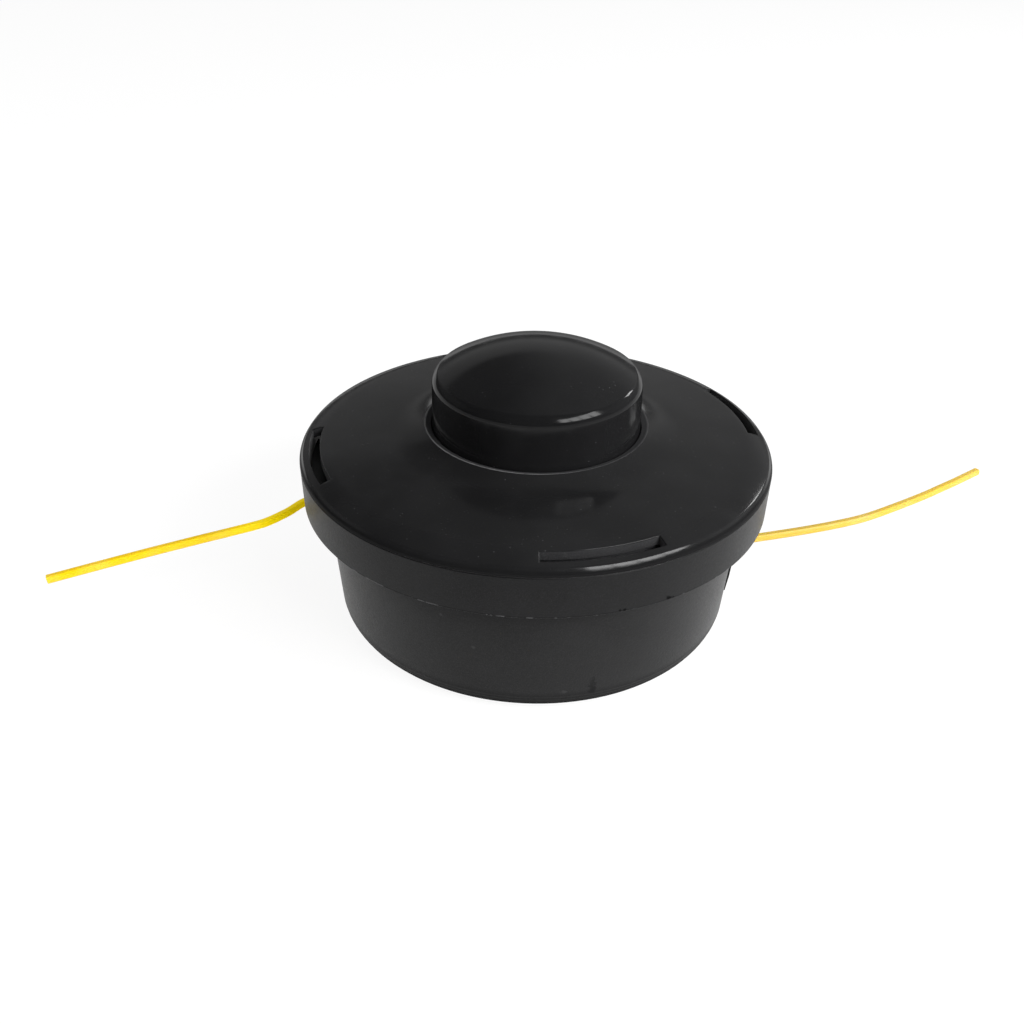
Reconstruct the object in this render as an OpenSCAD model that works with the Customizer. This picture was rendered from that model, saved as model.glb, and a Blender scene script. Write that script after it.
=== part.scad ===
// Bump-feed trimmer head for 2.4 mm line, standing on its gearbox side with the knob up.
// Millimetres, +Z up. The origin is the centre of the housing's flat base.

/* [Cover] */
// Diameter over the cover's rim
cover_d = 130; // [126:1:140]
// Height of the skirt, from its bottom edge to the crease under the rim
skirt_h = 11.9; // [10.5:0.1:14]
// How far the skirt's bottom edge lies inside the rim
skirt_draft = 0.35; // [0:0.05:0.8]
// Wall thickness of the skirt
skirt_wall = 2.7; // [2:0.1:3.4]
// Wall thickness of the crown
crown_wall = 2.4; // [1.8:0.1:3]
// Radius of the rounded rim
rim_fillet = 2.5; // [1.5:0.1:3.2]
// Slope where the rim's rounding meets the shoulder, in degrees
shoulder_deg = 27; // [20:1:32]
// Radius of the shoulder between rim and crown
shoulder_r = 16; // [12:0.5:22]
// Slope of the crown, in degrees
crown_deg = 4.5; // [2:0.5:7]
// Diameter over the collar's raised edge
collar_d = 61.6; // [60.6:0.2:64]
// Rise of the collar's edge over the crown
collar_rise = 1.95; // [1.2:0.05:2.4]
// Radius of the hollow flare that leads up to the collar
flare_r = 23.5; // [18:0.5:28]
// Number of stiffening ribs under the crown
crown_ribs = 12; // [6:1:16]
// Thickness of the crown's ribs
crown_rib_t = 1.6; // [1:0.1:2.4]

/* [Bayonet] */
// Number of rim windows, each with a ledge below it
windows = 4; // [3:1:4]
// Length of a window along the rim, in degrees
window_deg = 29; // [20:1:29]
// Width of a window, which is also the reach of the ledge below it
window_w = 2.95; // [2.4:0.05:3.2]
// Direction of the first window, in degrees, less the key below
window_at = 16; // [0:1:45]
// How far the two side windows lean towards the back one, in degrees, so that the cover fits one way round
key_deg = 2.2; // [0:0.1:2.5]
// Thickness of a ledge and of a lug
lug_t = 2.5; // [1.8:0.1:3]
// Gap between housing and skirt that the bayonet fills
bayonet_space = 3.7; // [3.4:0.1:4.4]

/* [Housing] */
// Height of the housing that shows below the skirt
housing_show_h = 37.4; // [35:0.1:42]
// Height of the housing's rim inside the skirt, above the skirt's bottom edge
housing_rim_h = 11.1; // [10.4:0.1:11.6]
// How much smaller the radius is at the top of the base fillet
side_taper = 2.45; // [1:0.05:3.5]
// Radius of the rounded edge of the base
base_fillet = 7; // [5:0.5:9]
// Wall and floor thickness
housing_wall = 2.6; // [2:0.1:3.2]
// Width of each index rib, in degrees
index_deg = 12; // [8:1:14]
// Number of index ribs in each ring, and of teeth on the spool
index_n = 6; // [6:6:6]
// Gap between the spool's flange and the index ribs
index_gap = 1; // [0.6:0.1:1.4]
// Number of stiffening ribs under the base
base_ribs = 12; // [6:1:18]

/* [Line exits] */
// Direction of the first eyelet, in degrees
eyelet_at = -5; // [-20:1:20]
// Height of the eyelets
eyelet_z = 22.2; // [20:0.1:24]
// Bore of an eyelet
eyelet_bore = 6; // [5:0.1:7]
// Wall of an eyelet's tube
eyelet_wall = 0.8; // [0.6:0.1:1]
// Diameter of an eyelet's outer flange
eyelet_flange_d = 11.2; // [10:0.2:12.5]
// Width of the raised pad round an eyelet, in degrees
pad_deg = 14; // [13:1:20]
// Thickness of the pad
pad_t = 0.6; // [0.4:0.1:1]
// Diameter of the trimmer line
line_d = 2.4; // [1.6:0.1:2.4]

/* [Arbor] */
// Nominal thread of the arbor nut
thread_d = 10; // [8:1:10]
// Pitch of the thread
thread_pitch = 1.25; // [1:0.25:1.5]
// Size across the arbor nut's flats
nut_af = 17; // [15:1:19]
// Height of the arbor nut
nut_h = 8; // [6:0.5:9]
// Diameter of the recess for the gearbox
recess_d = 40; // [30:1:42]
// Depth of the recess
recess_depth = 6; // [5:0.5:7]
// Wall of the boss round the recess, which also holds the nut and the spindle
boss_wall = 2.4; // [1.8:0.1:3]

/* [Spindle] */
// Diameter of the spindle
spindle_d = 22; // [20:0.5:24]
// Bore of the spindle
spindle_bore = 13; // [11:0.5:15]
// Thickness of the spindle's flange
spindle_flange_t = 2.2; // [2:0.1:3]
// Distance of the spindle's screws from the edge of its flange
spindle_screw_edge = 3.7; // [3.4:0.1:4]
// Length of the screws below the flange's top face
spindle_screw_l = 9; // [6:0.5:9.5]

/* [Spring] */
// Wire diameter
wire_d = 1.3; // [1.1:0.1:1.5]
// Mean diameter of the coils
spring_d = 28; // [26:0.5:29]
// Number of turns
spring_turns = 4; // [3:0.5:4]
// Height of the spring at rest
spring_h = 12; // [11.5:0.5:14]
// Thickness of the seat under the spring
seat_t = 0.8; // [0.6:0.1:1.2]
// Thickness of the thrust washer
thrust_t = 1.5; // [1:0.1:2]
// Gap between the thrust washer's edge and the heads of the knob's screws
thrust_gap = 1.2; // [0.8:0.1:2.2]

/* [Spool] */
// Travel of the knob and spool
press_travel = 5; // [4:0.5:5]
// Gap between the spool's core and the boss that it slides over
core_gap = 2.2; // [1.8:0.1:2.6]
// Wall of the line core
core_wall = 2.4; // [1.8:0.1:2.6]
// Diameter of the partition between the two channels
partition_d = 82; // [80:1:84]
// Thickness of the flanges and the partition
flange_t = 2.3; // [1.6:0.1:2.6]
// Height of the lower flange above the floor, less the travel
floor_gap = 1.4; // [0.8:0.1:2]
// Height of each line channel
channel_h = 12.7; // [11:0.1:13]
// Length of the teeth beyond the flange
tooth_l = 3.4; // [2.4:0.1:4]
// Thickness of the web that carries the knob
web_t = 3; // [2:0.1:4]
// Height of the sleeve that runs on the spindle
sleeve_h = 9.5; // [8:0.5:11]
// Wall of the sleeve that runs on the spindle
sleeve_wall = 3; // [2:0.1:4]
// Diameter of the wound line
winding_d = 76; // [66:1:76]

/* [Knob] */
// Diameter of the knob at its shoulder
knob_d = 56.9; // [55:0.1:57]
// How much the knob's radius grows down to the collar
knob_draft = 0.2; // [0:0.05:0.3]
// Height of the straight side that shows above the collar
knob_side_h = 11.55; // [8:0.05:16]
// Radius of the knob's shoulder
knob_shoulder_r = 3.7; // [3:0.1:6]
// Slope of the dome at its edge, in degrees
dome_deg = 30; // [15:1:35]
// Wall thickness of the knob
knob_wall = 2.4; // [1.8:0.1:3]
// Diameter of the bosses for the knob's screws
knob_boss_d = 6.4; // [5.6:0.1:6.6]
// Length of the screws above the web's underside
knob_screw_l = 14; // [10:0.5:18]

/* [Fits] */
// Radial clearance between spindle and spool
run_gap = 0.06; // [0.03:0.01:0.09]
// Gap between flat parts that move past each other
face_gap = 0.3; // [0.2:0.05:0.5]
// Gap round a nut, a screw or an eyelet in its hole
seat_gap = 0.05; // [0.02:0.01:0.1]
// Gap between lug ends, stops and walls
side_gap = 0.4; // [0.3:0.05:0.6]
// Radial gap between the knob and the collar
knob_gap = 0.45; // [0.3:0.05:0.8]

/* [Hidden] */
$fn = 120;

// Overlap of a feature with the wall it grows out of
sink = 0.6;
// Reach of a cutting shape past the face it cuts
over = 1;
// Overlap that joins two shapes stacked in one piece
joint = 0.01;
// Small chamfer on turned edges
chamfer = 0.8;

cover_r = cover_d / 2;
skirt_in_r = cover_r - skirt_wall;
rim_z = housing_show_h + skirt_h;
rim_c = [cover_r - rim_fillet, rim_z];
shoulder_c = rim_c + (rim_fillet - shoulder_r) * [sin(shoulder_deg), cos(shoulder_deg)];
crown_start = shoulder_c + shoulder_r * [sin(crown_deg), cos(crown_deg)];
collar_r = collar_d / 2;

// Height of the crown's top surface at radius r, without the flare
function crown_z(r) = crown_start[1] + (crown_start[0] - r) * tan(crown_deg);
// Height of the crown's underside at radius r
function under_z(r) = crown_z(r) - crown_wall / cos(crown_deg);

collar_z = crown_z(collar_r) + collar_rise;
knob_r = knob_d / 2;
knob_foot_r = knob_r + knob_draft;
collar_hole_r = knob_foot_r + knob_gap;
// Wall of the guide tube under the collar, the rounding of the collar's edge and the lead-in below it
collar_wall = 2.2;
collar_lip = 0.15;
collar_lead = 0.5;
// How far the ring that seats on the housing's rim keeps off the rim's edges
seat_inset = 0.2;
// Gap round the spindle in the spring's seat, and beside a line parked in its notch
slip_gap = 0.2;

house_top_r = skirt_in_r - bayonet_space;
house_base_r = house_top_r - side_taper;
house_rim_z = housing_show_h + housing_rim_h;
house_in_r = house_top_r - housing_wall;

// Outer radius of the housing's side at height z
function side_r(z) = z > housing_show_h ? house_top_r
    : house_base_r + side_taper * (z - base_fillet) / (housing_show_h - base_fillet);

// Inner radius and least height of the index ribs
index_reach = 5;
lower_rib_h = 8.6;
rib_drop = 0.5;

lug_r = skirt_in_r - side_gap;
ledge_in_r = skirt_in_r - window_w;
lug_drop = 1;
lug_top_z = house_rim_z - lug_drop;
lug_z = lug_top_z - lug_t;
ledge_top_z = lug_z - face_gap;
ledge_z = ledge_top_z - lug_t;
// Angles along the rim of the gap at a ledge's end and of the stop beyond it
stop_gap_deg = 0.5;
stop_deg = 2.5;

nut_floor_t = 3;
nut_z = recess_depth + nut_floor_t;
boss_top_z = nut_z + nut_h;
boss_r = recess_d / 2 + boss_wall;
// Share of the pitch that the thread's two flanks take off the diameter
thread_share = 1.0825;
thread_minor_r = (thread_d - thread_share * thread_pitch) / 2;
shaft_gap = 0.6;
shaft_hole_r = thread_d / 2 + shaft_gap;
nut_chamfer = 0.9;

// Screws: shank, countersunk and pan heads, cross recess and the room under the tip
screw_r = 1.5;
screw_hole_r = screw_r + seat_gap;
sunk_head_r = 2.6;
sunk_head_h = 1.3;
pan_head_r = 2.8;
pan_head_h = 2;
pan_round = 0.6;
cross_w = 0.6;
cross_l = 3.2;
cross_depth = 0.7;
tip_gap = 0.5;
spindle_screw_at = boss_r - spindle_screw_edge;

seat_z = boss_top_z + spindle_flange_t;
spring_z = seat_z + seat_t;
lower_flange_z = housing_wall + floor_gap + press_travel;
lower_channel_z = lower_flange_z + flange_t;
partition_z = lower_channel_z + channel_h;
upper_channel_z = partition_z + flange_t;
upper_flange_z = upper_channel_z + channel_h;
spool_top_z = upper_flange_z + flange_t;
thrust_z = spring_z + spring_h;
web_z = thrust_z + thrust_t;
spindle_r = spindle_d / 2;
bore_r = spindle_r + run_gap;
// Rise of the spindle over the spool's sleeve
spindle_rise = 2;
spindle_top_z = web_z + sleeve_h + spindle_rise;
core_in_r = boss_r + core_gap;
core_r = core_in_r + core_wall;
knob_screw_at = core_in_r - knob_boss_d / 2 - side_gap;
thrust_r = knob_screw_at - pan_head_r - thrust_gap;
winding_gap = 0.1;
rib_in_r = house_in_r - index_reach;
flange_r = rib_in_r - index_gap;
tooth_r = flange_r + tooth_l;
pitch_deg = 360 / index_n;
// The upper index ribs start just above the pressed teeth, the lower ones end just below the resting teeth
upper_rib_z = spool_top_z - press_travel + side_gap;
lower_rib_top_z = upper_flange_z - side_gap;

// Routes of the two line ends, from the winding through the eyelet to the tip
line_1_route = [[32, -23.5, 30], [38, -17, 30], [45, -11, 27], [52, -6.5, 23], [58, -4, 22],
    [65, -2, 22], [72, 0.2, 22], [79, 2.5, 22], [88.5, 6, 22], [98.5, 10.5, 22], [109, 17, 22],
    [120, 24.5, 22], [126, 29, 22], [132, 33.5, 22], [141.5, 41, 22]];
line_2_route = [[-32, 23.5, 15.5], [-38, 17, 15.5], [-45, 11, 18], [-52, 6.5, 21.3], [-58, 4, 22],
    [-63, 1.5, 25], [-67.5, -2, 28.5], [-71.5, -9, 29.5], [-75.5, -14, 30], [-79, -16.5, 30],
    [-85, -19, 29.5], [-91, -21.5, 29], [-103.5, -27, 28], [-115.5, -32.5, 27], [-128, -37.5, 25.5]];
line_sides = 8;
// Rings to each span between two points of a route
span_rings = 2;

// Points of an arc about c, from angle a0 to a1
function arc(c, r, a0, a1, n = 10) =
    [for (i = [0:n]) let (a = a0 + (a1 - a0) * i / n) c + r * [cos(a), sin(a)]];

// A ring sector, deg wide and centred on direction at
module sector(r0, r1, z0, z1, deg, at) {
    rotate([0, 0, at - deg / 2])
        rotate_extrude(angle = deg)
            translate([r0, z0]) square([r1 - r0, z1 - z0]);
}

module ring(r0, r1, z0, z1) {
    translate([0, 0, z0]) difference() {
        cylinder(r = r1, h = z1 - z0);
        translate([0, 0, -over]) cylinder(r = r0, h = z1 - z0 + 2 * over);
    }
}

module around(n, first = 0) {
    for (i = [0:n - 1]) rotate([0, 0, first + 360 * i / n]) children();
}

module at_windows() {
    for (i = [0:windows - 1])
        rotate([0, 0, window_at + 360 * i / windows + key_deg * cos(90 * i)]) children();
}

// Turns a shape that points along +Z so that it points outwards at direction at, at the eyelets' height
module outwards(at) {
    translate([0, 0, eyelet_z]) rotate([0, 90, at]) children();
}

// Cover: rim, crown, flared collar, guide tube and skirt in one outline
function flare_points() =
    let (
        along = [-cos(crown_deg), sin(crown_deg)],
        normal = [sin(crown_deg), cos(crown_deg)],
        edge = [collar_r, collar_z],
        rise = (edge - crown_start) * normal,
        reach = (edge - crown_start) * along - sqrt(2 * flare_r * rise - rise * rise),
        c = crown_start + reach * along + flare_r * normal,
        a1 = 360 + atan2(edge[1] - c[1], edge[0] - c[0])
    ) arc(c, flare_r, 270 - crown_deg, a1, 8);

module cover_outline() {
    shoulder_in_r = shoulder_r - crown_wall;
    in_deg = acos((skirt_in_r - shoulder_c[0]) / shoulder_in_r);
    tube_out_r = collar_hole_r + collar_wall;
    polygon(concat(
        [[cover_r - skirt_draft, housing_show_h]],
        arc(rim_c, rim_fillet, 0, 90 - shoulder_deg, 10),
        arc(shoulder_c, shoulder_r, 90 - shoulder_deg, 90 - crown_deg, 10),
        flare_points(),
        [[collar_r - collar_lip, collar_z + collar_lip / 2],
            [collar_r - 2 * collar_lip, collar_z],
            [collar_hole_r, collar_z - collar_lead],
            [collar_hole_r, spool_top_z + face_gap],
            [tube_out_r, spool_top_z + face_gap],
            [tube_out_r, under_z(tube_out_r)]],
        arc(shoulder_c, shoulder_in_r, 90 - crown_deg, in_deg, 8),
        [[skirt_in_r, housing_show_h]]
    ));
}

module cover() color([0.12, 0.12, 0.125]) {
    difference() {
        union() {
            rotate_extrude() cover_outline();
            // The ring that seats on the housing's rim
            ring(house_in_r + seat_inset, house_top_r - seat_inset, house_rim_z, under_z(house_in_r) + sink);
            around(crown_ribs) crown_rib();
        }
        at_windows()
            sector(ledge_in_r, skirt_in_r, house_rim_z - over, rim_z + shoulder_r, window_deg, 0);
    }
    at_windows()
        sector(ledge_in_r, skirt_in_r + sink, ledge_z, ledge_top_z, window_deg, 0);
}

// A radial rib under the crown, from the guide tube to the seating ring
module crown_rib() {
    r0 = collar_hole_r + collar_wall - sink;
    r1 = house_in_r + seat_inset + sink;
    translate([0, crown_rib_t / 2, 0]) rotate([90, 0, 0]) linear_extrude(crown_rib_t)
        polygon([[r0, house_rim_z + sink], [r1, house_rim_z + sink],
            [r1, under_z(r1) + sink], [r0, under_z(r0) + sink]]);
}

// Housing: a cup with the gearbox recess in its base and the nut's boss on its floor
module housing_outline() {
    fillet_c = [house_base_r - base_fillet, base_fillet];
    polygon(concat(
        [[recess_d / 2, 0]],
        arc(fillet_c, base_fillet, -90, 0, 10),
        [[house_top_r, housing_show_h], [house_top_r, house_rim_z], [house_in_r, house_rim_z],
            [house_in_r, housing_show_h]],
        arc(fillet_c, base_fillet - housing_wall, 0, -90, 10),
        [[boss_r, housing_wall], [boss_r, boss_top_z],
            [shaft_hole_r, boss_top_z], [shaft_hole_r, recess_depth], [recess_d / 2, recess_depth]]
    ));
}

module nut_hex(af, h) {
    cylinder(r = af / 2 / cos(30), h = h, $fn = 6);
}

module eyelet_pad() {
    foot_z = 10;
    slope_h = 5;
    head_z = housing_show_h - 3.4;
    rotate([0, 0, eyelet_at - pad_deg / 2]) rotate_extrude(angle = pad_deg)
        polygon([[side_r(foot_z) - sink, foot_z], [side_r(foot_z) + pad_t / 2, foot_z],
            [side_r(foot_z + slope_h) + pad_t, foot_z + slope_h],
            [side_r(head_z) + pad_t, head_z], [side_r(head_z) - sink, head_z]]);
}

// The lug, with the stop that the ledge meets when the cover is home
module bayonet_lug() {
    lug_deg = window_deg - 2 * stop_gap_deg;
    sector(house_top_r - sink, lug_r, lug_z, lug_top_z, lug_deg, -stop_gap_deg);
    sector(house_top_r - sink, lug_r, ledge_z, lug_top_z, stop_deg,
        -window_deg / 2 - stop_gap_deg - stop_deg / 2);
}

// Eyelets: where the outer flange seats, where the rolled lip starts, and their thicknesses
eyelet_seat_r = side_r(eyelet_z);
eyelet_lip_r = eyelet_seat_r - housing_wall - side_gap;
eyelet_lip_t = 0.8;
eyelet_flange_t = 0.6;
eyelet_bevel = 0.5;
eyelet_flare = 1;

module housing() color([0.16, 0.16, 0.165]) difference() {
    union() {
        rotate_extrude() housing_outline();
        around(2) eyelet_pad();
        at_windows() bayonet_lug();
        around(index_n)
            sector(rib_in_r, house_in_r + sink, upper_rib_z, house_rim_z - rib_drop, index_deg, 0);
        around(index_n, pitch_deg / 2)
            sector(rib_in_r, side_r(lower_rib_top_z - lower_rib_h) - housing_wall + sink,
                lower_rib_top_z - lower_rib_h, lower_rib_top_z, index_deg, 0);
    }
    translate([0, 0, nut_z]) nut_hex(nut_af + 2 * seat_gap, nut_h + over);
    around(3) translate([spindle_screw_at, 0, boss_top_z - spindle_screw_l])
        cylinder(r = screw_hole_r, h = spindle_screw_l + over);
    for (i = [0, 1]) outwards(eyelet_at + 180 * i) {
        cylinder(r = eyelet_bore / 2 + eyelet_wall + seat_gap, h = cover_r);
        translate([0, 0, eyelet_seat_r]) cylinder(r = eyelet_flange_d / 2 + 2 * seat_gap, h = cover_r);
    }
    base_relief();
}

// The shallow ring pockets under the base, with radial ribs left between them
module base_relief() {
    depth = 1.2;
    rib_w = 2;
    land = 5;
    r0 = recess_d / 2 + land;
    r1 = house_base_r - base_fillet - land;
    difference() {
        ring(r0, r1, -over, depth);
        around(base_ribs) translate([0, -rib_w / 2, -2 * over]) cube([r1 + over, rib_w, depth + 3 * over]);
    }
}

module arbor_nut() color([0.66, 0.67, 0.69]) translate([0, 0, nut_z]) difference() {
    intersection() {
        nut_hex(nut_af, nut_h);
        chamfered_disc(nut_af / 2 / cos(30), nut_h, nut_chamfer);
    }
    translate([0, 0, -over]) cylinder(r = thread_minor_r, h = nut_h + 2 * over);
}

module chamfered_disc(r, h, c) {
    cylinder(r1 = r - c, r2 = r, h = c);
    translate([0, 0, c]) cylinder(r = r, h = h - 2 * c);
    translate([0, 0, h - c]) cylinder(r1 = r, r2 = r - c, h = c);
}

module spindle() color([0.78, 0.78, 0.74]) difference() {
    union() {
        translate([0, 0, boss_top_z]) cylinder(r = boss_r, h = spindle_flange_t);
        translate([0, 0, boss_top_z]) cylinder(r = spindle_r, h = spindle_top_z - boss_top_z - chamfer);
        translate([0, 0, spindle_top_z - chamfer])
            cylinder(r1 = spindle_r, r2 = spindle_r - chamfer, h = chamfer);
    }
    translate([0, 0, boss_top_z - over]) cylinder(r = spindle_bore / 2, h = spindle_top_z);
    around(3) translate([spindle_screw_at, 0, 0]) {
        translate([0, 0, boss_top_z - over]) cylinder(r = screw_hole_r, h = spindle_flange_t + 2 * over);
        translate([0, 0, seat_z - sunk_head_h])
            cylinder(r1 = screw_hole_r, r2 = sunk_head_r + seat_gap, h = sunk_head_h);
    }
}

// A cross recess whose floor is at height 0, open upwards
module cross_recess() {
    for (a = [0, 90]) rotate([0, 0, a])
        translate([-cross_l / 2, -cross_w / 2, 0]) cube([cross_l, cross_w, pan_head_h]);
}

module spindle_screw(i) color([0.6, 0.6, 0.62]) rotate([0, 0, 120 * i])
    translate([spindle_screw_at, 0, 0]) difference() {
        tip_z = boss_top_z - spindle_screw_l + tip_gap;
        head_z = seat_z - sunk_head_h;
        union() {
            translate([0, 0, tip_z]) cylinder(r = screw_r, h = head_z - tip_z + joint);
            translate([0, 0, head_z]) cylinder(r1 = screw_r, r2 = sunk_head_r, h = sunk_head_h);
        }
        translate([0, 0, seat_z - cross_depth]) cross_recess();
    }

// A dished steel washer whose lip centres the spring
module spring_seat() color([0.7, 0.71, 0.73]) {
    lip_r = spring_d / 2 + wire_d / 2 + face_gap;
    lip_h = 1;
    hole_r = spindle_r + slip_gap;
    translate([0, 0, seat_z]) rotate_extrude()
        polygon([[hole_r, 0], [lip_r + seat_t, 0], [lip_r + seat_t, seat_t + lip_h],
            [lip_r, seat_t + lip_h], [lip_r, seat_t], [hole_r, seat_t]]);
}

// Compression spring with closed end coils
module spring() color([0.55, 0.56, 0.58]) {
    steps = 20;
    sides = 8;
    n = spring_turns * steps;
    end_gap = wire_d / 2 + 2 * joint;
    z0 = spring_z + end_gap;
    z1 = thrust_z - end_gap;
    dead = 0.75 / spring_turns;
    // Share of the height at a share of the turns: nearly flat over the end coils
    lift = [for (i = [0:n]) let (t = i / n) t < dead ? 0 : t > 1 - dead ? 1
        : (1 - cos(180 * (t - dead) / (1 - 2 * dead))) / 2];
    rings = [for (i = [0:n]) let (a = 360 * i / steps, z = z0 + (z1 - z0) * lift[i])
        [for (k = [0:sides - 1]) let (b = 360 * k / sides, r = spring_d / 2 + wire_d / 2 * cos(b))
            [r * cos(a), r * sin(a), z + wire_d / 2 * sin(b)]]];
    sweep(rings, sides);
}

// Skin over a list of rings, closed at both ends
module sweep(rings, sides) {
    n = len(rings) - 1;
    polyhedron(
        points = [for (r = rings) for (p = r) p],
        faces = concat(
            [[for (k = [0:sides - 1]) k]],
            [for (i = [0:n - 1]) for (k = [0:sides - 1])
                let (a = i * sides + k, b = i * sides + (k + 1) % sides)
                each [[a, a + sides, b + sides], [a, b + sides, b]]],
            [[for (k = [sides - 1:-1:0]) n * sides + k]]
        ),
        convexity = 6
    );
}

module thrust_washer() color([0.83, 0.8, 0.7])
    ring(bore_r, thrust_r, thrust_z, web_z);

module spool_outline() {
    translate([core_in_r, lower_flange_z]) square([core_wall, spool_top_z - lower_flange_z]);
    for (z = [lower_flange_z, upper_flange_z])
        translate([core_in_r, z]) square([flange_r - core_in_r, flange_t]);
    translate([core_in_r, partition_z]) square([partition_d / 2 - core_in_r, flange_t]);
    translate([bore_r, web_z]) square([core_in_r + sink - bore_r, web_t]);
    translate([bore_r, web_z]) square([sleeve_wall, sleeve_h]);
}

module spool() color([0.88, 0.87, 0.83]) difference() {
    union() {
        rotate_extrude() spool_outline();
        around(index_n, pitch_deg / 4)
            sector(flange_r - sink, tooth_r, upper_flange_z, spool_top_z, index_deg, 0);
    }
    around(3) translate([knob_screw_at, 0, web_z - over])
        cylinder(r = screw_hole_r, h = web_t + 2 * over);
    // Holes that anchor the inner ends of the lines, and notches that park the outer ends
    notch_l = 4;
    notch_w = line_d + slip_gap;
    for (i = [0, 1]) rotate([0, 0, 180 * i]) {
        translate([core_in_r - over, 0, (i == 0 ? upper_channel_z : lower_channel_z) + channel_h / 2])
            rotate([0, 90, 0]) cylinder(r = line_d / 2 + face_gap, h = core_wall + 2 * over);
        translate([flange_r - notch_l, -notch_w / 2, upper_flange_z - over])
            cube([notch_l + over, notch_w, flange_t + 2 * over]);
    }
}

// Wound line as one solid, its side ridged by the turns
module winding(z) {
    turns = floor((channel_h - 2 * winding_gap) / line_d);
    pitch = (channel_h - 2 * winding_gap) / turns;
    r0 = core_r + seat_gap;
    r1 = winding_d / 2 - pitch / 2;
    translate([0, 0, z + winding_gap]) rotate_extrude() polygon(concat(
        [[r0, 0]],
        [for (i = [0:turns - 1]) each arc([r1, pitch * (i + 0.5)], pitch / 2, -90, 90, 8)],
        [[r0, pitch * turns]]
    ));
}

module winding_lower() color([0.93, 0.8, 0.13]) winding(lower_channel_z);
module winding_upper() color([0.93, 0.8, 0.13]) winding(upper_channel_z);

// Knob: a domed cap whose three bosses stand on the spool's web
function knob_points(off) =
    let (
        top = collar_z + knob_side_h,
        c = [knob_r - knob_shoulder_r, top],
        dome_r = c[0] / sin(dome_deg) + knob_shoulder_r,
        dome_c = [0, top + (knob_shoulder_r - dome_r) * cos(dome_deg)]
    ) concat(
        [[0, spool_top_z], [knob_foot_r - off, spool_top_z], [knob_foot_r - off, collar_z]],
        arc(c, knob_shoulder_r - off, 0, 90 - dome_deg, 8),
        arc(dome_c, dome_r - off, 90 - dome_deg, 90, 16)
    );

module bump_knob() color([0.1, 0.1, 0.105]) difference() {
    union() {
        difference() {
            rotate_extrude() polygon(knob_points(0));
            difference() {
                translate([0, 0, -joint]) rotate_extrude() polygon(knob_points(knob_wall));
                around(3) knob_boss();
            }
        }
        around(3) translate([knob_screw_at, 0, web_z + web_t])
            cylinder(d = knob_boss_d, h = spool_top_z - web_z - web_t + over);
    }
    around(3) translate([knob_screw_at, 0, web_z + web_t - over])
        cylinder(r = screw_hole_r, h = knob_screw_l - web_t + over + tip_gap);
}

// A boss for one screw, with a rib that ties it to the knob's wall
module knob_boss() {
    tie_t = 1.6;
    translate([knob_screw_at, 0, spool_top_z - over]) {
        cylinder(d = knob_boss_d, h = collar_z);
        translate([0, -tie_t / 2, 0]) cube([knob_foot_r, tie_t, collar_z]);
    }
}

module knob_screw(i) color([0.6, 0.6, 0.62]) rotate([0, 0, 120 * i])
    translate([knob_screw_at, 0, 0]) difference() {
        head_z = web_z - pan_head_h;
        union() {
            translate([0, 0, web_z - joint]) cylinder(r = screw_r, h = knob_screw_l);
            translate([0, 0, head_z]) cylinder(r1 = pan_head_r - pan_round, r2 = pan_head_r, h = pan_round);
            translate([0, 0, head_z + pan_round]) cylinder(r = pan_head_r, h = pan_head_h - pan_round);
        }
        translate([0, 0, head_z + cross_depth]) mirror([0, 0, 1]) cross_recess();
    }

// Flanged steel eyelet, rolled over on the inside of the wall
module eyelet(i) color([0.72, 0.73, 0.75]) outwards(eyelet_at + 180 * i) difference() {
    tube_r = eyelet_bore / 2 + eyelet_wall;
    flange_r = eyelet_flange_d / 2;
    union() {
        translate([0, 0, eyelet_lip_r - eyelet_lip_t]) {
            cylinder(r = tube_r, h = eyelet_seat_r - eyelet_lip_r + eyelet_lip_t);
            cylinder(r = tube_r + eyelet_lip_t, h = eyelet_lip_t);
        }
        translate([0, 0, eyelet_seat_r]) cylinder(r = flange_r, h = eyelet_flange_t);
        translate([0, 0, eyelet_seat_r + eyelet_flange_t])
            cylinder(r1 = flange_r, r2 = flange_r - eyelet_bevel, h = eyelet_bevel);
    }
    cylinder(r = eyelet_bore / 2, h = cover_r);
    translate([0, 0, eyelet_seat_r + eyelet_flange_t + eyelet_bevel - eyelet_flare])
        cylinder(r1 = eyelet_bore / 2, r2 = eyelet_bore / 2 + 1.5 * eyelet_flare, h = 1.5 * eyelet_flare);
}

// Smooth curve through the route's points
function spline(p, i, t) =
    let (a = p[max(i - 1, 0)], b = p[i], c = p[i + 1], d = p[min(i + 2, len(p) - 1)])
    0.5 * (2 * b + (c - a) * t + (2 * a - 5 * b + 4 * c - d) * t * t + (3 * b - a - 3 * c + d) * t * t * t);
function curve(p) = concat(
    [for (i = [0:len(p) - 2]) for (k = [0:span_rings - 1]) spline(p, i, k / span_rings)],
    [p[len(p) - 1]]);
function unit(v) = v / norm(v);

// A tube along a route, its rings square to the curve
module line_tube(route) {
    pts = curve(route);
    n = len(pts) - 1;
    r = line_d / 2 / cos(180 / line_sides);
    rings = [for (i = [0:n]) let (
            dir = unit(pts[min(i + 1, n)] - pts[max(i - 1, 0)]),
            side = unit(cross(dir, [0, 0, 1])),
            up = cross(side, dir)
        ) [for (k = [0:line_sides - 1]) let (a = 360 * (k + 0.5) / line_sides)
            pts[i] + r * (cos(a) * side + sin(a) * up)]];
    sweep(rings, line_sides);
}

module line_1() color([0.97, 0.87, 0.15]) line_tube(line_1_route);
module line_2() color([0.97, 0.87, 0.15]) line_tube(line_2_route);

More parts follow.
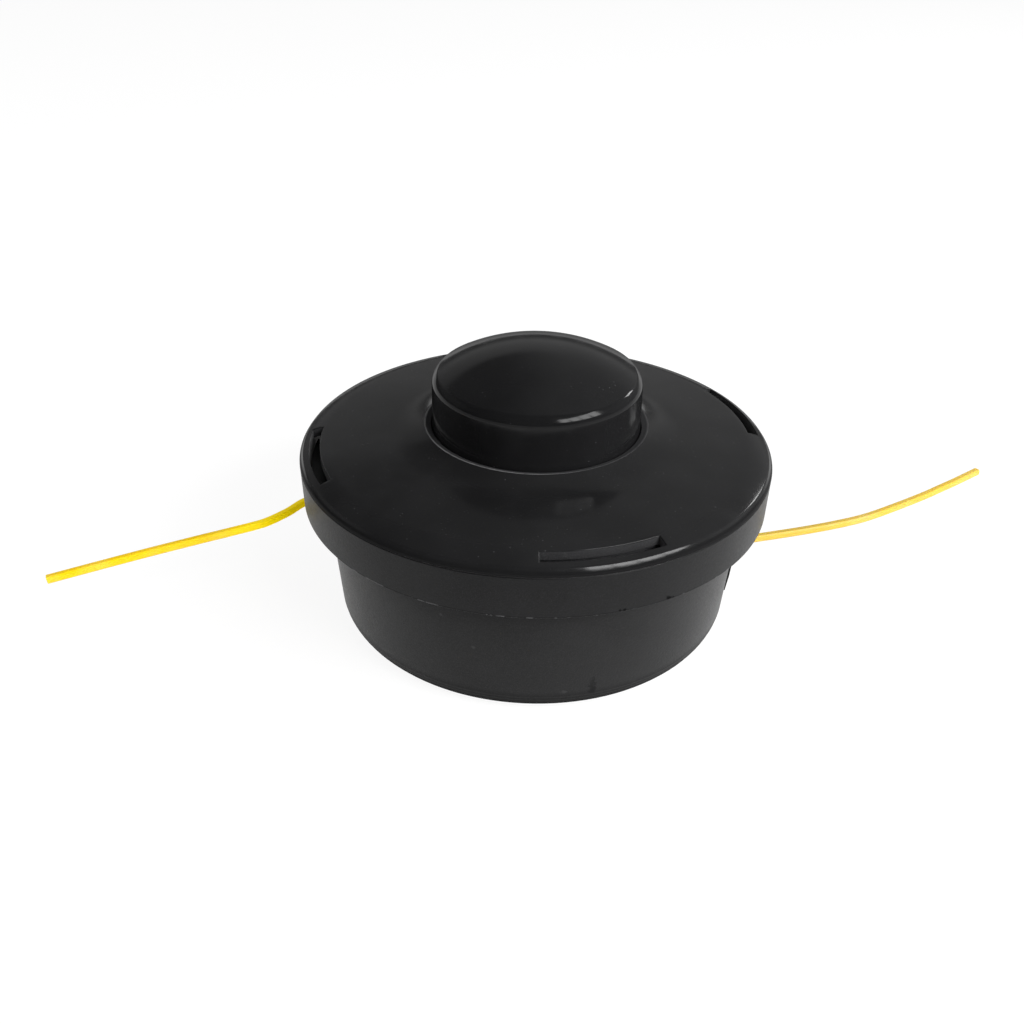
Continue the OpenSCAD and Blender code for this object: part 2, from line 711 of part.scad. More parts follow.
housing();
arbor_nut();
spindle();
spindle_screw(0);  // spindle_screw_1
spindle_screw(1);  // spindle_screw_2
spindle_screw(2);  // spindle_screw_3
spring_seat();
spring();
thrust_washer();
spool();
winding_lower();
winding_upper();
bump_knob();
knob_screw(0);  // knob_screw_1
knob_screw(1);  // knob_screw_2
knob_screw(2);  // knob_screw_3
cover();
eyelet(0);  // eyelet_1
eyelet(1);  // eyelet_2
line_1();
line_2();
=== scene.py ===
import math

import bmesh
import bpy
import numpy as np
from bpy.props import FloatProperty, FloatVectorProperty, IntProperty, PointerProperty
from mathutils import Matrix, Vector


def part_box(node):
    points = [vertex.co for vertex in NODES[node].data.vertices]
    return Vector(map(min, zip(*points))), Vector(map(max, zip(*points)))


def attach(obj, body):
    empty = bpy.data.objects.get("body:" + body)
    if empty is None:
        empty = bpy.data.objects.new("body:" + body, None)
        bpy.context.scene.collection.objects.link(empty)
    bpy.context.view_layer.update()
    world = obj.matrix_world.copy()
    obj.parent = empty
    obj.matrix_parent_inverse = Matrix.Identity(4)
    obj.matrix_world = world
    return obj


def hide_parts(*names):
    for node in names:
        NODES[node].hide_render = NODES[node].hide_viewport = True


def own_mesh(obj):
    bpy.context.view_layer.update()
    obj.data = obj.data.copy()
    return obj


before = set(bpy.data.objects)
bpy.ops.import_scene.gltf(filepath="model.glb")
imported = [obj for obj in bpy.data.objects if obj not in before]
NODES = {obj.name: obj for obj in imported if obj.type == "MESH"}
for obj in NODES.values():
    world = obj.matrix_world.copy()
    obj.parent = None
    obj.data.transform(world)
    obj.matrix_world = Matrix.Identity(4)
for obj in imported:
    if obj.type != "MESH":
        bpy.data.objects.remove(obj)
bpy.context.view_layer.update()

bl_info = {
    "name": "Trimmer Head",
    "version": (1, 0, 0),
    "blender": (4, 5, 0),
    "location": "View3D > Sidebar > Trimmer Head",
    "description": "Dresses the packed trimmer head with its plastics, line and studio",
    "category": "Object",
}

MM = 0.001
# Specular levels of the smooth and the grained black plastic, below the 0.5 of clean plastic
SMOOTH_SHINE = 0.2
GRAINED_SHINE = 0.10


# Settings ---------------------------------------------------------------

def length(name, default, description):
    return FloatProperty(
        name=name, default=default * MM, min=0.0, description=description,
        subtype="DISTANCE", unit="LENGTH", precision=5,
    )


def angle(name, degrees, description):
    return FloatProperty(
        name=name, default=math.radians(degrees), description=description,
        subtype="ANGLE", unit="ROTATION",
    )


def colour(name, default, description):
    return FloatVectorProperty(
        name=name, default=default, description=description,
        subtype="COLOR", size=3, min=0.0, max=1.0,
    )


def amount(name, default, description, top=1.0):
    return FloatProperty(
        name=name, default=default, min=0.0, max=top, description=description, subtype="FACTOR",
    )


class StudioSettings(bpy.types.PropertyGroup):
    camera_at: FloatVectorProperty(
        name="Camera", default=(0.0, -0.27730, 0.19673), subtype="TRANSLATION", unit="LENGTH",
        description="Where the camera stands",
    )
    aim_at: FloatVectorProperty(
        name="Aim", default=(-0.0065858, 0.0127473, 0.0194472), subtype="TRANSLATION", unit="LENGTH",
        description="Point that the camera looks at",
    )
    roll: angle("Roll", -0.8375, "Turn of the camera about its own axis")
    lens: FloatProperty(
        name="Lens", default=39.45, min=1.0, description="Focal length on a 36 mm sensor, in millimetres",
    )
    floor_size: length("Floor", 12000, "Width of the floor")
    floor_colour: colour("Floor colour", (0.92, 0.92, 0.92), "Colour of the floor")
    floor_lift: FloatProperty(
        name="Floor lift", default=0.86, min=0.0, max=1.0, description="Share of the floor's white that no shadow dims",
    )
    room_left: FloatProperty(
        name="Room left", default=0.12, min=0.0, description="Brightness of the room's left half above the wall",
    )
    room_right: FloatProperty(
        name="Room right", default=0.45, min=0.0, description="Brightness of the room's right half above the wall",
    )
    wall: FloatProperty(
        name="Wall", default=0.46, min=0.0, description="Brightness of the wall behind the stage",
    )
    horizon: FloatProperty(
        name="Horizon", default=0.18, min=0.0, description="Brightness at the wall's foot",
    )
    side_glow: FloatProperty(
        name="Side glow", default=0.3, min=0.0, description="Extra brightness of the wall on the right",
    )
    left_share: FloatProperty(
        name="Left share", default=0.8, min=0.0, description="How bright the wall's left side is",
    )
    front_share: FloatProperty(
        name="Front share", default=0.25, min=0.0, description="How bright the room is on the camera's side",
    )
    fill: FloatProperty(
        name="Fill", default=0.3, min=0.0, description="Brightness of the soft light overhead",
    )
    side_fill: FloatProperty(
        name="Side fill", default=5.5, min=0.0, description="Brightness of the soft light at the right",
    )
    left_fill: FloatProperty(
        name="Left fill", default=2.0, min=0.0, description="Brightness of the soft light at the left",
    )
    front_window: FloatProperty(
        name="Front window", default=16.5, min=0.0, description="Brightness of the window at the front right",
    )
    rear_window: FloatProperty(
        name="Rear window", default=15.0, min=0.0, description="Brightness of the window at the rear right",
    )


class CoverSettings(bpy.types.PropertyGroup):
    rim_radius: length("Rim radius", 65, "Radius over the rim")
    skirt_foot: length("Skirt foot", 37.4, "Height of the skirt's bottom edge")
    skirt_draft: length("Skirt draft", 0.35, "How far the skirt's bottom edge lies inside the rim")
    crease: length("Crease", 49.3, "Height of the crease under the rim")
    crease_depth: length("Crease depth", 0.22, "Depth of the crease")
    rim_round: length("Rim rounding", 2.5, "Radius of the rounded rim")
    shoulder_round: length("Shoulder", 16, "Radius of the shoulder between rim and crown")
    wall: length("Wall", 2.4, "Wall of the crown")
    skirt_inside: length("Skirt inside", 62.3, "Inner radius of the skirt")
    collar_radius: length("Collar radius", 30.8, "Radius of the collar's raised edge")
    collar_rise: length("Collar rise", 1.95, "Rise of the collar's edge over the crown")
    flare: length("Flare", 23.5, "Radius of the hollow flare up to the collar")
    hole: length("Hole", 29.1, "Radius of the hole for the knob")
    tube_foot: length("Guide tube", 41.6, "Height of the guide tube's lower end")
    window_width: length("Window width", 2.95, "Width of a rim window")
    first_window: angle("First window", 16, "Direction of the first window, less the key")
    window_key: angle("Window key", 2.2, "How far the side windows lean towards the back one")
    window_arc: angle("Window length", 29, "Length of a window")
    gloss_black: colour("Crown black", (0.0100, 0.0100, 0.0104), "Colour of the smooth crown")
    # Painted highlight: pale grey painted on the collar's edge in place of the light the lip catches
    edge_highlight_grey: colour("Collar edge", (0.150, 0.150, 0.152), "Colour of the rubbed edge of the collar")
    satin_black: colour("Skirt black", (0.0070, 0.0070, 0.0073), "Colour of the grained skirt")


class KnobSettings(bpy.types.PropertyGroup):
    radius: length("Radius", 28.45, "Radius under the shoulder")
    foot_radius: length("Foot radius", 28.65, "Radius at the foot")
    foot: length("Foot", 41.3, "Height of the foot, on the spool")
    side_foot: length("Side foot", 57.283, "Height where the tapering side starts")
    shoulder: length("Shoulder height", 68.833, "Height of the shoulder's centre")
    shoulder_round: length("Shoulder rounding", 3.7, "Radius of the shoulder")
    dome_slope: angle("Dome slope", 30, "Slope of the dome at its edge")
    wall: length("Wall", 2.4, "Wall thickness")
    black: colour("Knob black", (0.0080, 0.0080, 0.0084), "Colour of the knob")


class HousingSettings(bpy.types.PropertyGroup):
    black: colour("Housing black", (0.0090, 0.0090, 0.0093), "Colour of the housing")
    eyelet_height: length("Eyelet height", 22.2, "Height of the eyelets")
    eyelet_seat: length("Eyelet seat", 57.3725, "Radius at which an eyelet's flange seats")
    first_eyelet: angle("First eyelet", -5, "Direction of the first eyelet")


class LineSettings(bpy.types.PropertyGroup):
    size: length("Line size", 2.1, "Width of the line across its flats")
    # Painted shade: the right line is painted darker than the left against the stronger light on the right; its paler
    # tint is its own
    right_yellow: colour("Right line", (0.62, 0.420, 0.058), "Colour of the right line")
    left_yellow: colour("Left line", (0.80, 0.53, 0.004), "Colour of the left line")
    # Painted light: brighter colour, also glowing, painted on the line near the head against the head's shade
    painted_light_yellow: colour("Fresh line", (1.0, 0.74, 0.004), "Colour of the line near the head, not yet bleached")


class HardwareSettings(bpy.types.PropertyGroup):
    steel: colour("Zinc steel", (0.55, 0.56, 0.58), "Colour of the zinc plated steel")
    spring_steel: colour("Spring steel", (0.28, 0.28, 0.29), "Colour of the spring")
    alloy: colour("Alloy", (0.62, 0.62, 0.60), "Colour of the spindle")
    nylon: colour("Nylon", (0.72, 0.69, 0.58), "Colour of the thrust washer")
    spool: colour("Spool", (0.74, 0.72, 0.66), "Colour of the spool")
    wire: length("Wire", 1.3, "Diameter of the spring's wire")
    coil_radius: length("Coil radius", 14, "Mean radius of the spring's coils")
    spring_foot: length("Spring foot", 20, "Height of the spring's lower end")
    spring_height: length("Spring height", 12, "Height of the spring at rest")
    pressed_height: length("Pressed spring", 7, "Height of the spring under a pressed knob")
    turns: IntProperty(name="Turns", default=4, description="Number of turns of the spring")
    nut_flats: length("Nut", 17, "Size of the nut across its flats")
    nut_foot: length("Nut foot", 9, "Height of the nut's lower face")
    nut_height: length("Nut height", 8, "Height of the nut")
    nut_chamfer: length("Nut chamfer", 0.9, "Chamfer of the nut's corners")
    thread: length("Thread", 10, "Nominal diameter of the thread")
    thread_bore: length("Thread bore", 8.6468, "Diameter over the thread's crests")
    pitch: length("Pitch", 1.25, "Pitch of the thread")


GROUPS = {
    "studio": StudioSettings, "cover": CoverSettings, "knob": KnobSettings,
    "housing": HousingSettings, "line": LineSettings, "hardware": HardwareSettings,
}


class TrimmerHeadSettings(bpy.types.PropertyGroup):
    studio: PointerProperty(type=StudioSettings)
    cover: PointerProperty(type=CoverSettings)
    knob: PointerProperty(type=KnobSettings)
    housing: PointerProperty(type=HousingSettings)
    line: PointerProperty(type=LineSettings)
    hardware: PointerProperty(type=HardwareSettings)


# Shading ----------------------------------------------------------------

class Field:
    """A number that varies over a surface. Arithmetic on it adds Math nodes."""

    def __init__(self, finish, socket):
        self.finish, self.socket = finish, socket

    def _math(self, operation, *operands):
        node = self.finish.node("ShaderNodeMath", {"operation": operation}, dict(enumerate(operands)))
        return Field(self.finish, node.outputs[0])

    def __add__(self, other):
        return self._math("ADD", self, other)

    def __radd__(self, other):
        return self._math("ADD", other, self)

    def __sub__(self, other):
        return self._math("SUBTRACT", self, other)

    def __rsub__(self, other):
        return self._math("SUBTRACT", other, self)

    def __mul__(self, other):
        return self._math("MULTIPLY", self, other)

    def __rmul__(self, other):
        return self._math("MULTIPLY", other, self)

    def at_least(self, other):
        return self._math("MAXIMUM", self, other)

    def at_most(self, other):
        return self._math("MINIMUM", self, other)

    def size(self):
        return self._math("ABSOLUTE", self)

    def ramp(self, low, high, start=0.0, end=1.0):
        """From start to end as the field goes from low to high, smoothly."""
        node = self.finish.node(
            "ShaderNodeMapRange", {"interpolation_type": "SMOOTHSTEP"},
            {0: self, 1: low, 2: high, 3: start, 4: end},
        )
        return Field(self.finish, node.outputs[0])


class Nodes:
    """The nodes of a material or a world, filled in from empty."""

    def __init__(self, owner, coordinates):
        owner.use_nodes = True
        self.tree = owner.node_tree
        self.tree.nodes.clear()
        self.place = self.node("ShaderNodeTexCoord").outputs[coordinates]

    def node(self, kind, settings=None, inputs=None):
        made = self.tree.nodes.new(kind)
        for name, value in (settings or {}).items():
            setattr(made, name, value)
        for key, value in (inputs or {}).items():
            socket = made.inputs[key]
            if isinstance(value, Field):
                self.tree.links.new(value.socket, socket)
            elif isinstance(value, bpy.types.NodeSocket):
                self.tree.links.new(value, socket)
            else:
                socket.default_value = value
        return made

    def axis(self, letter):
        """One coordinate of the surface point in metres, or of a world's direction."""
        parts = self.node("ShaderNodeSeparateXYZ", inputs={0: self.place})
        return Field(self, parts.outputs[letter])


class Finish(Nodes):
    """One material and the nodes that make its surface."""

    def __init__(self, name):
        self.material = bpy.data.materials.new(name)
        super().__init__(self.material, "Object")

    def stretched(self, x, y, z):
        """The surface point with its coordinates scaled."""
        node = self.node("ShaderNodeVectorMath", {"operation": "MULTIPLY"}, {0: self.place, 1: (x, y, z)})
        return node.outputs[0]

    def noise(self, feature, detail=2.0, roughness=0.5, place=None):
        """Noise whose blotches are about that wide, in metres."""
        node = self.node(
            "ShaderNodeTexNoise", None,
            {"Vector": place or self.place, "Scale": 1.0 / feature, "Detail": detail, "Roughness": roughness},
        )
        return Field(self, node.outputs["Fac"])

    def cells(self, feature, place=None):
        """Distance from scattered points that lie about that far apart."""
        node = self.node("ShaderNodeTexVoronoi", None, {"Vector": place or self.place, "Scale": 1.0 / feature})
        return Field(self, node.outputs["Distance"])

    def grazing(self):
        """0 where the surface faces the viewer, 1 where it is seen edge on."""
        return Field(self, self.node("ShaderNodeLayerWeight", None, {"Blend": 0.5}).outputs["Facing"])

    def near(self, point, flatness=1.0):
        """Distance from a point in metres, with heights counted flatness times."""
        here = self.stretched(1.0, 1.0, flatness)
        there = (point[0], point[1], point[2] * flatness)
        node = self.node("ShaderNodeVectorMath", {"operation": "DISTANCE"}, {0: here, 1: there})
        return Field(self, node.outputs["Value"])

    def blend(self, factor, first, second):
        """Colour between two, each an RGB triple or a colour socket."""
        pair = [tuple(c) + (1.0,) if not isinstance(c, bpy.types.NodeSocket) else c for c in (first, second)]
        node = self.node("ShaderNodeMix", {"data_type": "RGBA"}, {0: factor, 6: pair[0], 7: pair[1]})
        return node.outputs[2]

    def bump(self, height, depth, onto=None):
        """Normal of a surface whose relief is depth high where height is 1."""
        inputs = {"Height": height, "Strength": 1.0, "Distance": depth}
        if onto:
            inputs["Normal"] = onto
        return self.node("ShaderNodeBump", None, inputs).outputs["Normal"]

    def plastic(self, matte=None, **inputs):
        """Ends the material with a Principled shader; matte is (how much, colour) of a dull film over it."""
        named = {key.replace("_", " ").title().replace("Ior", "IOR"): value for key, value in inputs.items()}
        surface = self.node("ShaderNodeBsdfPrincipled", None, named).outputs[0]
        if matte:
            film = self.node("ShaderNodeBsdfDiffuse", None, {"Color": rgba(matte[1]), "Normal": inputs["normal"]})
            surface = self.node("ShaderNodeMixShader", None, {0: matte[0], 1: surface, 2: film.outputs[0]}).outputs[0]
        self.node("ShaderNodeOutputMaterial", None, {"Surface": surface})
        return self.material


def rgba(rgb):
    return (*rgb, 1.0)


def shade(rgb, factor):
    return tuple(channel * factor for channel in rgb)


def moulded_gloss(name, black, roughness, band=None, rubbed=None):
    """Smooth moulded black plastic: faint flow waves, fine dust pits and a dull film that shows edge on.

    Up to height band[0], fading out at band[1], the surface is dull. From height rubbed[0] to rubbed[1] it is
    half dull.
    """
    f = Finish(name)
    flow = f.noise(18 * MM, 2.0)
    haze = f.noise(5 * MM, 4.0, 0.6)
    pits = f.cells(2.6 * MM).ramp(0.02, 0.07, 1.0, 0.0) * f.noise(3.5 * MM, 0.0).ramp(0.56, 0.62)
    dust = f.noise(0.35 * MM, 1.0).ramp(0.70, 0.78)
    specks = f.cells(1.7 * MM).ramp(0.05, 0.10, 1.0, 0.0) * f.noise(9 * MM, 1.0).ramp(0.50, 0.62)
    base = f.blend(dust * 0.35, f.blend(flow.ramp(0.3, 0.7), shade(black, 0.85), shade(black, 1.15)),
                   shade(black, 4.0))
    base = f.blend(specks * 0.7, base, shade(black, 9.0))
    relief = f.bump(flow, 0.05 * MM)
    relief = f.bump(haze, 0.004 * MM, relief)
    relief = f.bump(1.0 - pits, 0.012 * MM, relief)
    gloss = roughness + haze.ramp(0.35, 0.75, -0.02, 0.08) + dust * 0.12 + pits * 0.1
    film = f.grazing().ramp(0.66, 0.90, 0.0, 0.85)
    if band:
        film = film.at_least(f.axis("Z").ramp(*band, 0.8, 0.0))
    if rubbed:
        low, high = rubbed
        height = f.axis("Z")
        film = film.at_least(height.ramp(low, low + 0.4 * MM, 0.0, 0.42) * height.ramp(high - 0.5 * MM, high, 1.0, 0.0))
    return f.plastic((film, shade(black, 0.8)), base_color=base, roughness=gloss, ior=1.5,
                     specular_ior_level=SMOOTH_SHINE, normal=relief)


def moulded_satin(name, black, roughness, pits=(), sinks=(), flash=None, foot=None):
    """Grained black plastic. pits are dark spots and sinks pale ones, as (point, width, height, strength).

    Up to height flash[0], fading out at flash[1], the edge is dull and torn flash shows as light dashes.
    Up to height foot[0], fading out at foot[1], the surface is dull and takes a quarter of the colour given, painted
    shade at the housing's foot and painted light on the cover's ring.
    """
    f = Finish(name)
    flow = f.noise(22 * MM, 2.0)
    grain = f.noise(0.55 * MM, 3.0, 0.65)
    fine = f.noise(0.22 * MM, 1.0)
    rub = f.noise(3 * MM, 5.0, 0.7, f.stretched(1.0, 1.0, 3.0)).ramp(0.52, 0.80)
    ragged = f.noise(0.9 * MM, 2.0).ramp(0.2, 0.8, 0.6, 1.4)

    def spots(places):
        total = 0.0
        for point, width, height, strength in places:
            distance = f.near(point, width / height) * ragged
            total = distance.ramp(0.25 * width, 0.6 * width, strength, 0.0).at_least(total)
        return total

    base = f.blend(flow.ramp(0.3, 0.7), shade(black, 0.85), shade(black, 1.2))
    base = f.blend(fine.ramp(0.45, 0.75), base, shade(black, 1.9))
    gloss = roughness + grain.ramp(0.3, 0.7, -0.05, 0.07) - rub * 0.08
    if sinks:
        base = f.blend(spots(sinks), base, shade(black, 3.5))
    film = spots(pits)
    if flash:
        edge = f.axis("Z").ramp(*flash, 1.0, 0.0)
        torn = f.noise(4.5 * MM, 3.0, 0.7).ramp(0.54, 0.60)
        base = f.blend(torn * edge, base, shade(black, 8.0))
        film = ((1.0 - torn) * edge * 0.5).at_least(film)
    if foot:
        film = f.axis("Z").ramp(*foot, 0.9, 0.0).at_least(film)
    relief = f.bump(flow, 0.06 * MM)
    relief = f.bump(grain, 0.035 * MM, relief)
    return f.plastic((film, shade(black, 0.25)), base_color=base, roughness=gloss, ior=1.5,
                     specular_ior_level=GRAINED_SHINE, sheen_weight=0.15, sheen_roughness=0.4, normal=relief)


def painted_highlight_edge(name, pale, black):
    """Edge of black plastic painted pale as a highlight line, palest on the left, where the lamps light it least."""
    f = Finish(name)
    wear_and_highlight = f.noise(4 * MM, 3.0, 0.6)
    # Painted highlight: the mask named rubbed is the pale line, strongest towards the left
    rubbed = f.axis("X").ramp(-6 * MM, 16 * MM, 1.0, 0.2) * wear_and_highlight.ramp(0.30, 0.55, 0.6, 1.0)
    return f.plastic(base_color=f.blend(rubbed, shade(black, 3.0), pale), roughness=wear_and_highlight.ramp(0.3, 0.7, 0.35, 0.50),
                     ior=1.5, specular_ior_level=GRAINED_SHINE, normal=f.bump(wear_and_highlight, 0.01 * MM))


def metal(name, tint, roughness, streak=(1.0, 1.0, 1.0), dulled=0.75):
    """Bright metal with fine tool marks and a dulled film."""
    f = Finish(name)
    cloud = f.noise(4 * MM, 4.0, 0.6)
    lines = f.noise(0.5 * MM, 2.0, 0.5, f.stretched(*streak))
    base = f.blend(cloud.ramp(0.35, 0.7), tint, shade(tint, dulled))
    gloss = roughness + cloud.ramp(0.3, 0.7, -0.06, 0.08) + lines.ramp(0.3, 0.7, -0.04, 0.06)
    relief = f.bump(lines, 0.006 * MM)
    return f.plastic(base_color=base, roughness=gloss, metallic=1.0, normal=relief)


def pale_nylon(name, tint, roughness):
    """Milky moulded nylon with flow clouds."""
    f = Finish(name)
    cloud = f.noise(7 * MM, 3.0, 0.6)
    grain = f.noise(0.4 * MM, 2.0)
    base = f.blend(cloud.ramp(0.3, 0.7), shade(tint, 0.93), shade(tint, 1.04))
    gloss = roughness + grain.ramp(0.3, 0.7, -0.04, 0.06)
    relief = f.bump(grain, 0.012 * MM)
    return f.plastic(base_color=base, roughness=gloss, ior=1.53, normal=relief,
                     subsurface_weight=0.15, subsurface_scale=0.002, subsurface_radius=(1.0, 0.9, 0.7))


def line_nylon(name, yellow, painted_near_head=None, span=None):
    """Drawn yellow nylon with faint die lines.

    Near the head it is painted light: a brighter colour that also glows, which fades to yellow as X goes through the
    span.
    """
    f = Finish(name)
    cloud = f.noise(9 * MM, 2.0)
    fine = f.noise(0.5 * MM, 2.0)
    base = f.blend(cloud.ramp(0.35, 0.70) * 0.04, yellow, (1.0, 1.0, 1.0))
    painted_glow = {}
    # Painted light: near the head the colour is brighter and glows, against the head's shade
    if span:
        painted_fade = f.axis("X").ramp(*span)
        base = f.blend(painted_fade, painted_near_head, base)
        painted_glow = {"emission_color": f.blend(painted_fade, painted_near_head, (0.0, 0.0, 0.0)), "emission_strength": 0.34}
    base = f.blend(fine.ramp(0.50, 0.80) * 0.35, base, shade(yellow, 0.86))
    gloss = 0.36 + fine.ramp(0.3, 0.7, -0.05, 0.06)
    relief = f.bump(fine, 0.01 * MM)
    return f.plastic(base_color=base, roughness=gloss, ior=1.53, specular_ior_level=0.2, normal=relief,
                     subsurface_weight=0.35, subsurface_scale=0.002, subsurface_radius=(1.0, 0.75, 0.12), **painted_glow)


# Mesh building ----------------------------------------------------------

def arc(centre, radius, start, end, steps):
    """Points of an arc in the radius and height plane, angles in degrees."""
    points = []
    for step in range(steps + 1):
        a = math.radians(start + (end - start) * step / steps)
        points.append((centre[0] + radius * math.cos(a), centre[1] + radius * math.sin(a)))
    return points


def eased(corners, steps=3):
    """Outline through (radius, height, rounding) corners; a rounding of 0 leaves the point as it is."""
    points = []
    for i, (r, z, rounding) in enumerate(corners):
        here = Vector((r, z))
        if rounding <= 0:
            points.append(tuple(here))
            continue
        before, after = Vector(corners[i - 1][:2]), Vector(corners[(i + 1) % len(corners)][:2])
        back, ahead = (before - here), (after - here)
        half = back.angle(ahead) / 2
        reach = min(rounding / math.tan(half), 0.45 * back.length, 0.45 * ahead.length)
        radius = reach * math.tan(half)
        back.normalize()
        ahead.normalize()
        centre = here + (back + ahead).normalized() * (radius / math.sin(half))
        first, last = here + back * reach - centre, here + ahead * reach - centre
        start = math.atan2(first.y, first.x)
        turn = (math.atan2(last.y, last.x) - start + math.pi) % (2 * math.pi) - math.pi
        points += arc(centre, radius, math.degrees(start), math.degrees(start + turn), steps)
    return points


def rounded(start, radius, stretches):
    """Outline from an upright side up to a top, in stretches of different radius.

    A stretch is (tilt at its end in degrees, its share of the radius, steps).
    """
    point = Vector(start)
    points = [start]
    tilt = 90.0
    for end, share, steps in stretches:
        angles = [math.radians(tilt + (end - tilt) * step / steps) for step in range(steps + 1)]
        for a, b in zip(angles, angles[1:]):
            point = point + radius * share * Vector((math.sin(b) - math.sin(a), math.cos(b) - math.cos(a)))
            points.append(tuple(point))
        tilt = end
    return points


class Solid:
    """A mesh under construction, kept as one closed skin or several."""

    def __init__(self, name):
        self.name, self.bm = name, bmesh.new()

    def turned(self, outline, columns, zone=None):
        """Turns a closed (radius, height) outline about Z, with that many columns or at the angles given.

        zone is the material of each segment. Returns the grid of points.
        """
        if isinstance(columns, int):
            columns = [2 * math.pi * column / columns for column in range(columns)]
        grid = []
        for a in columns:
            grid.append([self.bm.verts.new((r * math.cos(a), r * math.sin(a), z)) for r, z in outline])
        rows = len(outline)
        for here, there in zip(grid, grid[1:] + grid[:1]):
            for row in range(rows):
                lower = (row + 1) % rows
                face = self.bm.faces.new((here[row], there[row], there[lower], here[lower]))
                face.material_index = zone[row] if zone else 0
        return grid

    def sector(self, inner, outer, low, high, start, end, steps=12, zone=0):
        """A ring sector from angle start to end in degrees."""
        rings = []
        for step in range(steps + 1):
            a = math.radians(start + (end - start) * step / steps)
            c, s = math.cos(a), math.sin(a)
            rings.append([self.bm.verts.new((r * c, r * s, z))
                          for r, z in ((inner, low), (outer, low), (outer, high), (inner, high))])
        self.skin(rings, zone=zone)

    def skin(self, rings, closed=False, caps=True, zone=0):
        """Joins rings of points side by side."""
        count = len(rings[0])
        pairs = list(zip(rings, rings[1:] + (rings[:1] if closed else [])))
        for one, two in pairs if closed else pairs[:len(rings) - 1]:
            for k in range(count):
                face = self.bm.faces.new((one[k], one[(k + 1) % count], two[(k + 1) % count], two[k]))
                face.material_index = zone
        if caps and not closed:
            for ring in (rings[0][::-1], rings[-1]):
                self.bm.faces.new(ring).material_index = zone

    def tube(self, points, section, ups, caps=True, zone=0):
        """Sweeps a (side, up) section along points, with one up direction for each."""
        rings = []
        for i, point in enumerate(points):
            ahead = (points[min(i + 1, len(points) - 1)] - points[max(i - 1, 0)]).normalized()
            side = ahead.cross(ups[i]).normalized()
            up = side.cross(ahead)
            rings.append([self.bm.verts.new(point + side * a + up * b) for a, b in section])
        self.skin(rings, caps=caps, zone=zone)

    def finish(self, materials, body, replaced=(), slot=None, smooth=38.0, weld=1e-7):
        """Makes the object, gives it its materials and puts it on its body."""
        bmesh.ops.remove_doubles(self.bm, verts=self.bm.verts, dist=weld)
        bmesh.ops.dissolve_degenerate(self.bm, edges=self.bm.edges, dist=weld)
        bmesh.ops.recalc_face_normals(self.bm, faces=self.bm.faces)
        mesh = bpy.data.meshes.new(self.name)
        self.bm.to_mesh(mesh)
        self.bm.free()
        mesh.polygons.foreach_set("use_smooth", [True] * len(mesh.polygons))
        mesh.set_sharp_from_angle(angle=math.radians(smooth))
        for material in materials:
            mesh.materials.append(material)
        piece = bpy.data.objects.new(self.name, mesh)
        bpy.context.scene.collection.objects.link(piece)
        weights = piece.modifiers.new("weights", "WEIGHTED_NORMAL")
        weights.keep_sharp = True
        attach(piece, body)
        if replaced:
            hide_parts(*replaced)
        return piece


def dress(material, *names):
    """Puts a material on CAD nodes that stay as they are."""
    for name in names:
        slots = NODES[name].material_slots
        if not slots:
            raise RuntimeError(f"{name} has no material slot")
        for slot in slots:
            slot.material = material


def eased_route(route, steps):
    """Smooth curve through points given in millimetres, as vectors in metres."""
    p = [Vector(point) * MM for point in route]
    last = len(p) - 1
    points = []
    for i in range(last):
        a, b, c, d = p[max(i - 1, 0)], p[i], p[i + 1], p[min(i + 2, last)]
        for step in range(steps):
            t = step / steps
            points.append(0.5 * (2 * b + (c - a) * t + (2 * a - 5 * b + 4 * c - d) * t * t
                                 + (3 * b - a - 3 * c + d) * t ** 3))
    return points + [p[last]]


def settings():
    return bpy.context.scene.trimmer_head


# Operators --------------------------------------------------------------

class TRIMMERHEAD_OT_camera(bpy.types.Operator):
    """Sets the camera at the photograph's viewing angle"""

    bl_idname = "trimmer_head.camera"
    bl_label = "Camera"

    def execute(self, context):
        s = settings().studio
        data = bpy.data.cameras.new("camera")
        data.sensor_width = 36.0
        data.lens = s.lens
        data.clip_start, data.clip_end = 0.01, 50.0
        camera = bpy.data.objects.new("camera", data)
        context.scene.collection.objects.link(camera)
        at, aim = Vector(s.camera_at), Vector(s.aim_at)
        ahead = (aim - at).normalized()
        level = ahead.cross(Vector((0, 0, 1))).normalized()
        down = ahead.cross(level)
        right = level * math.cos(s.roll) + down * math.sin(s.roll)
        up = right.cross(ahead)
        turn = Matrix((right, up, -ahead)).transposed().to_4x4()
        camera.matrix_world = Matrix.Translation(at) @ turn
        context.scene.camera = camera
        return {"FINISHED"}


# Routes of the two line ends in millimetres, from the winding through the eyelet to the tip
LINE_ROUTES = {
    "line_1": ((32, -23.5, 30), (38, -17, 30), (45, -11, 27), (52, -6.5, 23), (58, -4, 22),
               (65, -2, 22), (72, 0.2, 22), (79, 2.5, 22), (88.5, 6, 22), (98.5, 10.5, 22), (109, 17, 22),
               (120, 24.5, 22), (126, 29, 22), (132, 33.5, 22), (141.5, 41, 22)),
    "line_2": ((-32, 23.5, 15.5), (-38, 17, 15.5), (-45, 11, 18), (-52, 6.5, 21.3), (-58, 4, 22),
               (-62.2, 2.2, 25.4), (-65.6, -0.4, 29.2), (-70, -7.4, 29.6), (-74.5, -13.0, 29.8), (-78.4, -16.1, 30), (-80.6, -17.2, 29.9),
               (-86, -19.4, 29.4), (-91, -21.5, 29), (-103.5, -27, 28), (-115.5, -32.5, 27), (-128, -37.5, 25.5)),
}
ROUTE_STEPS = 10


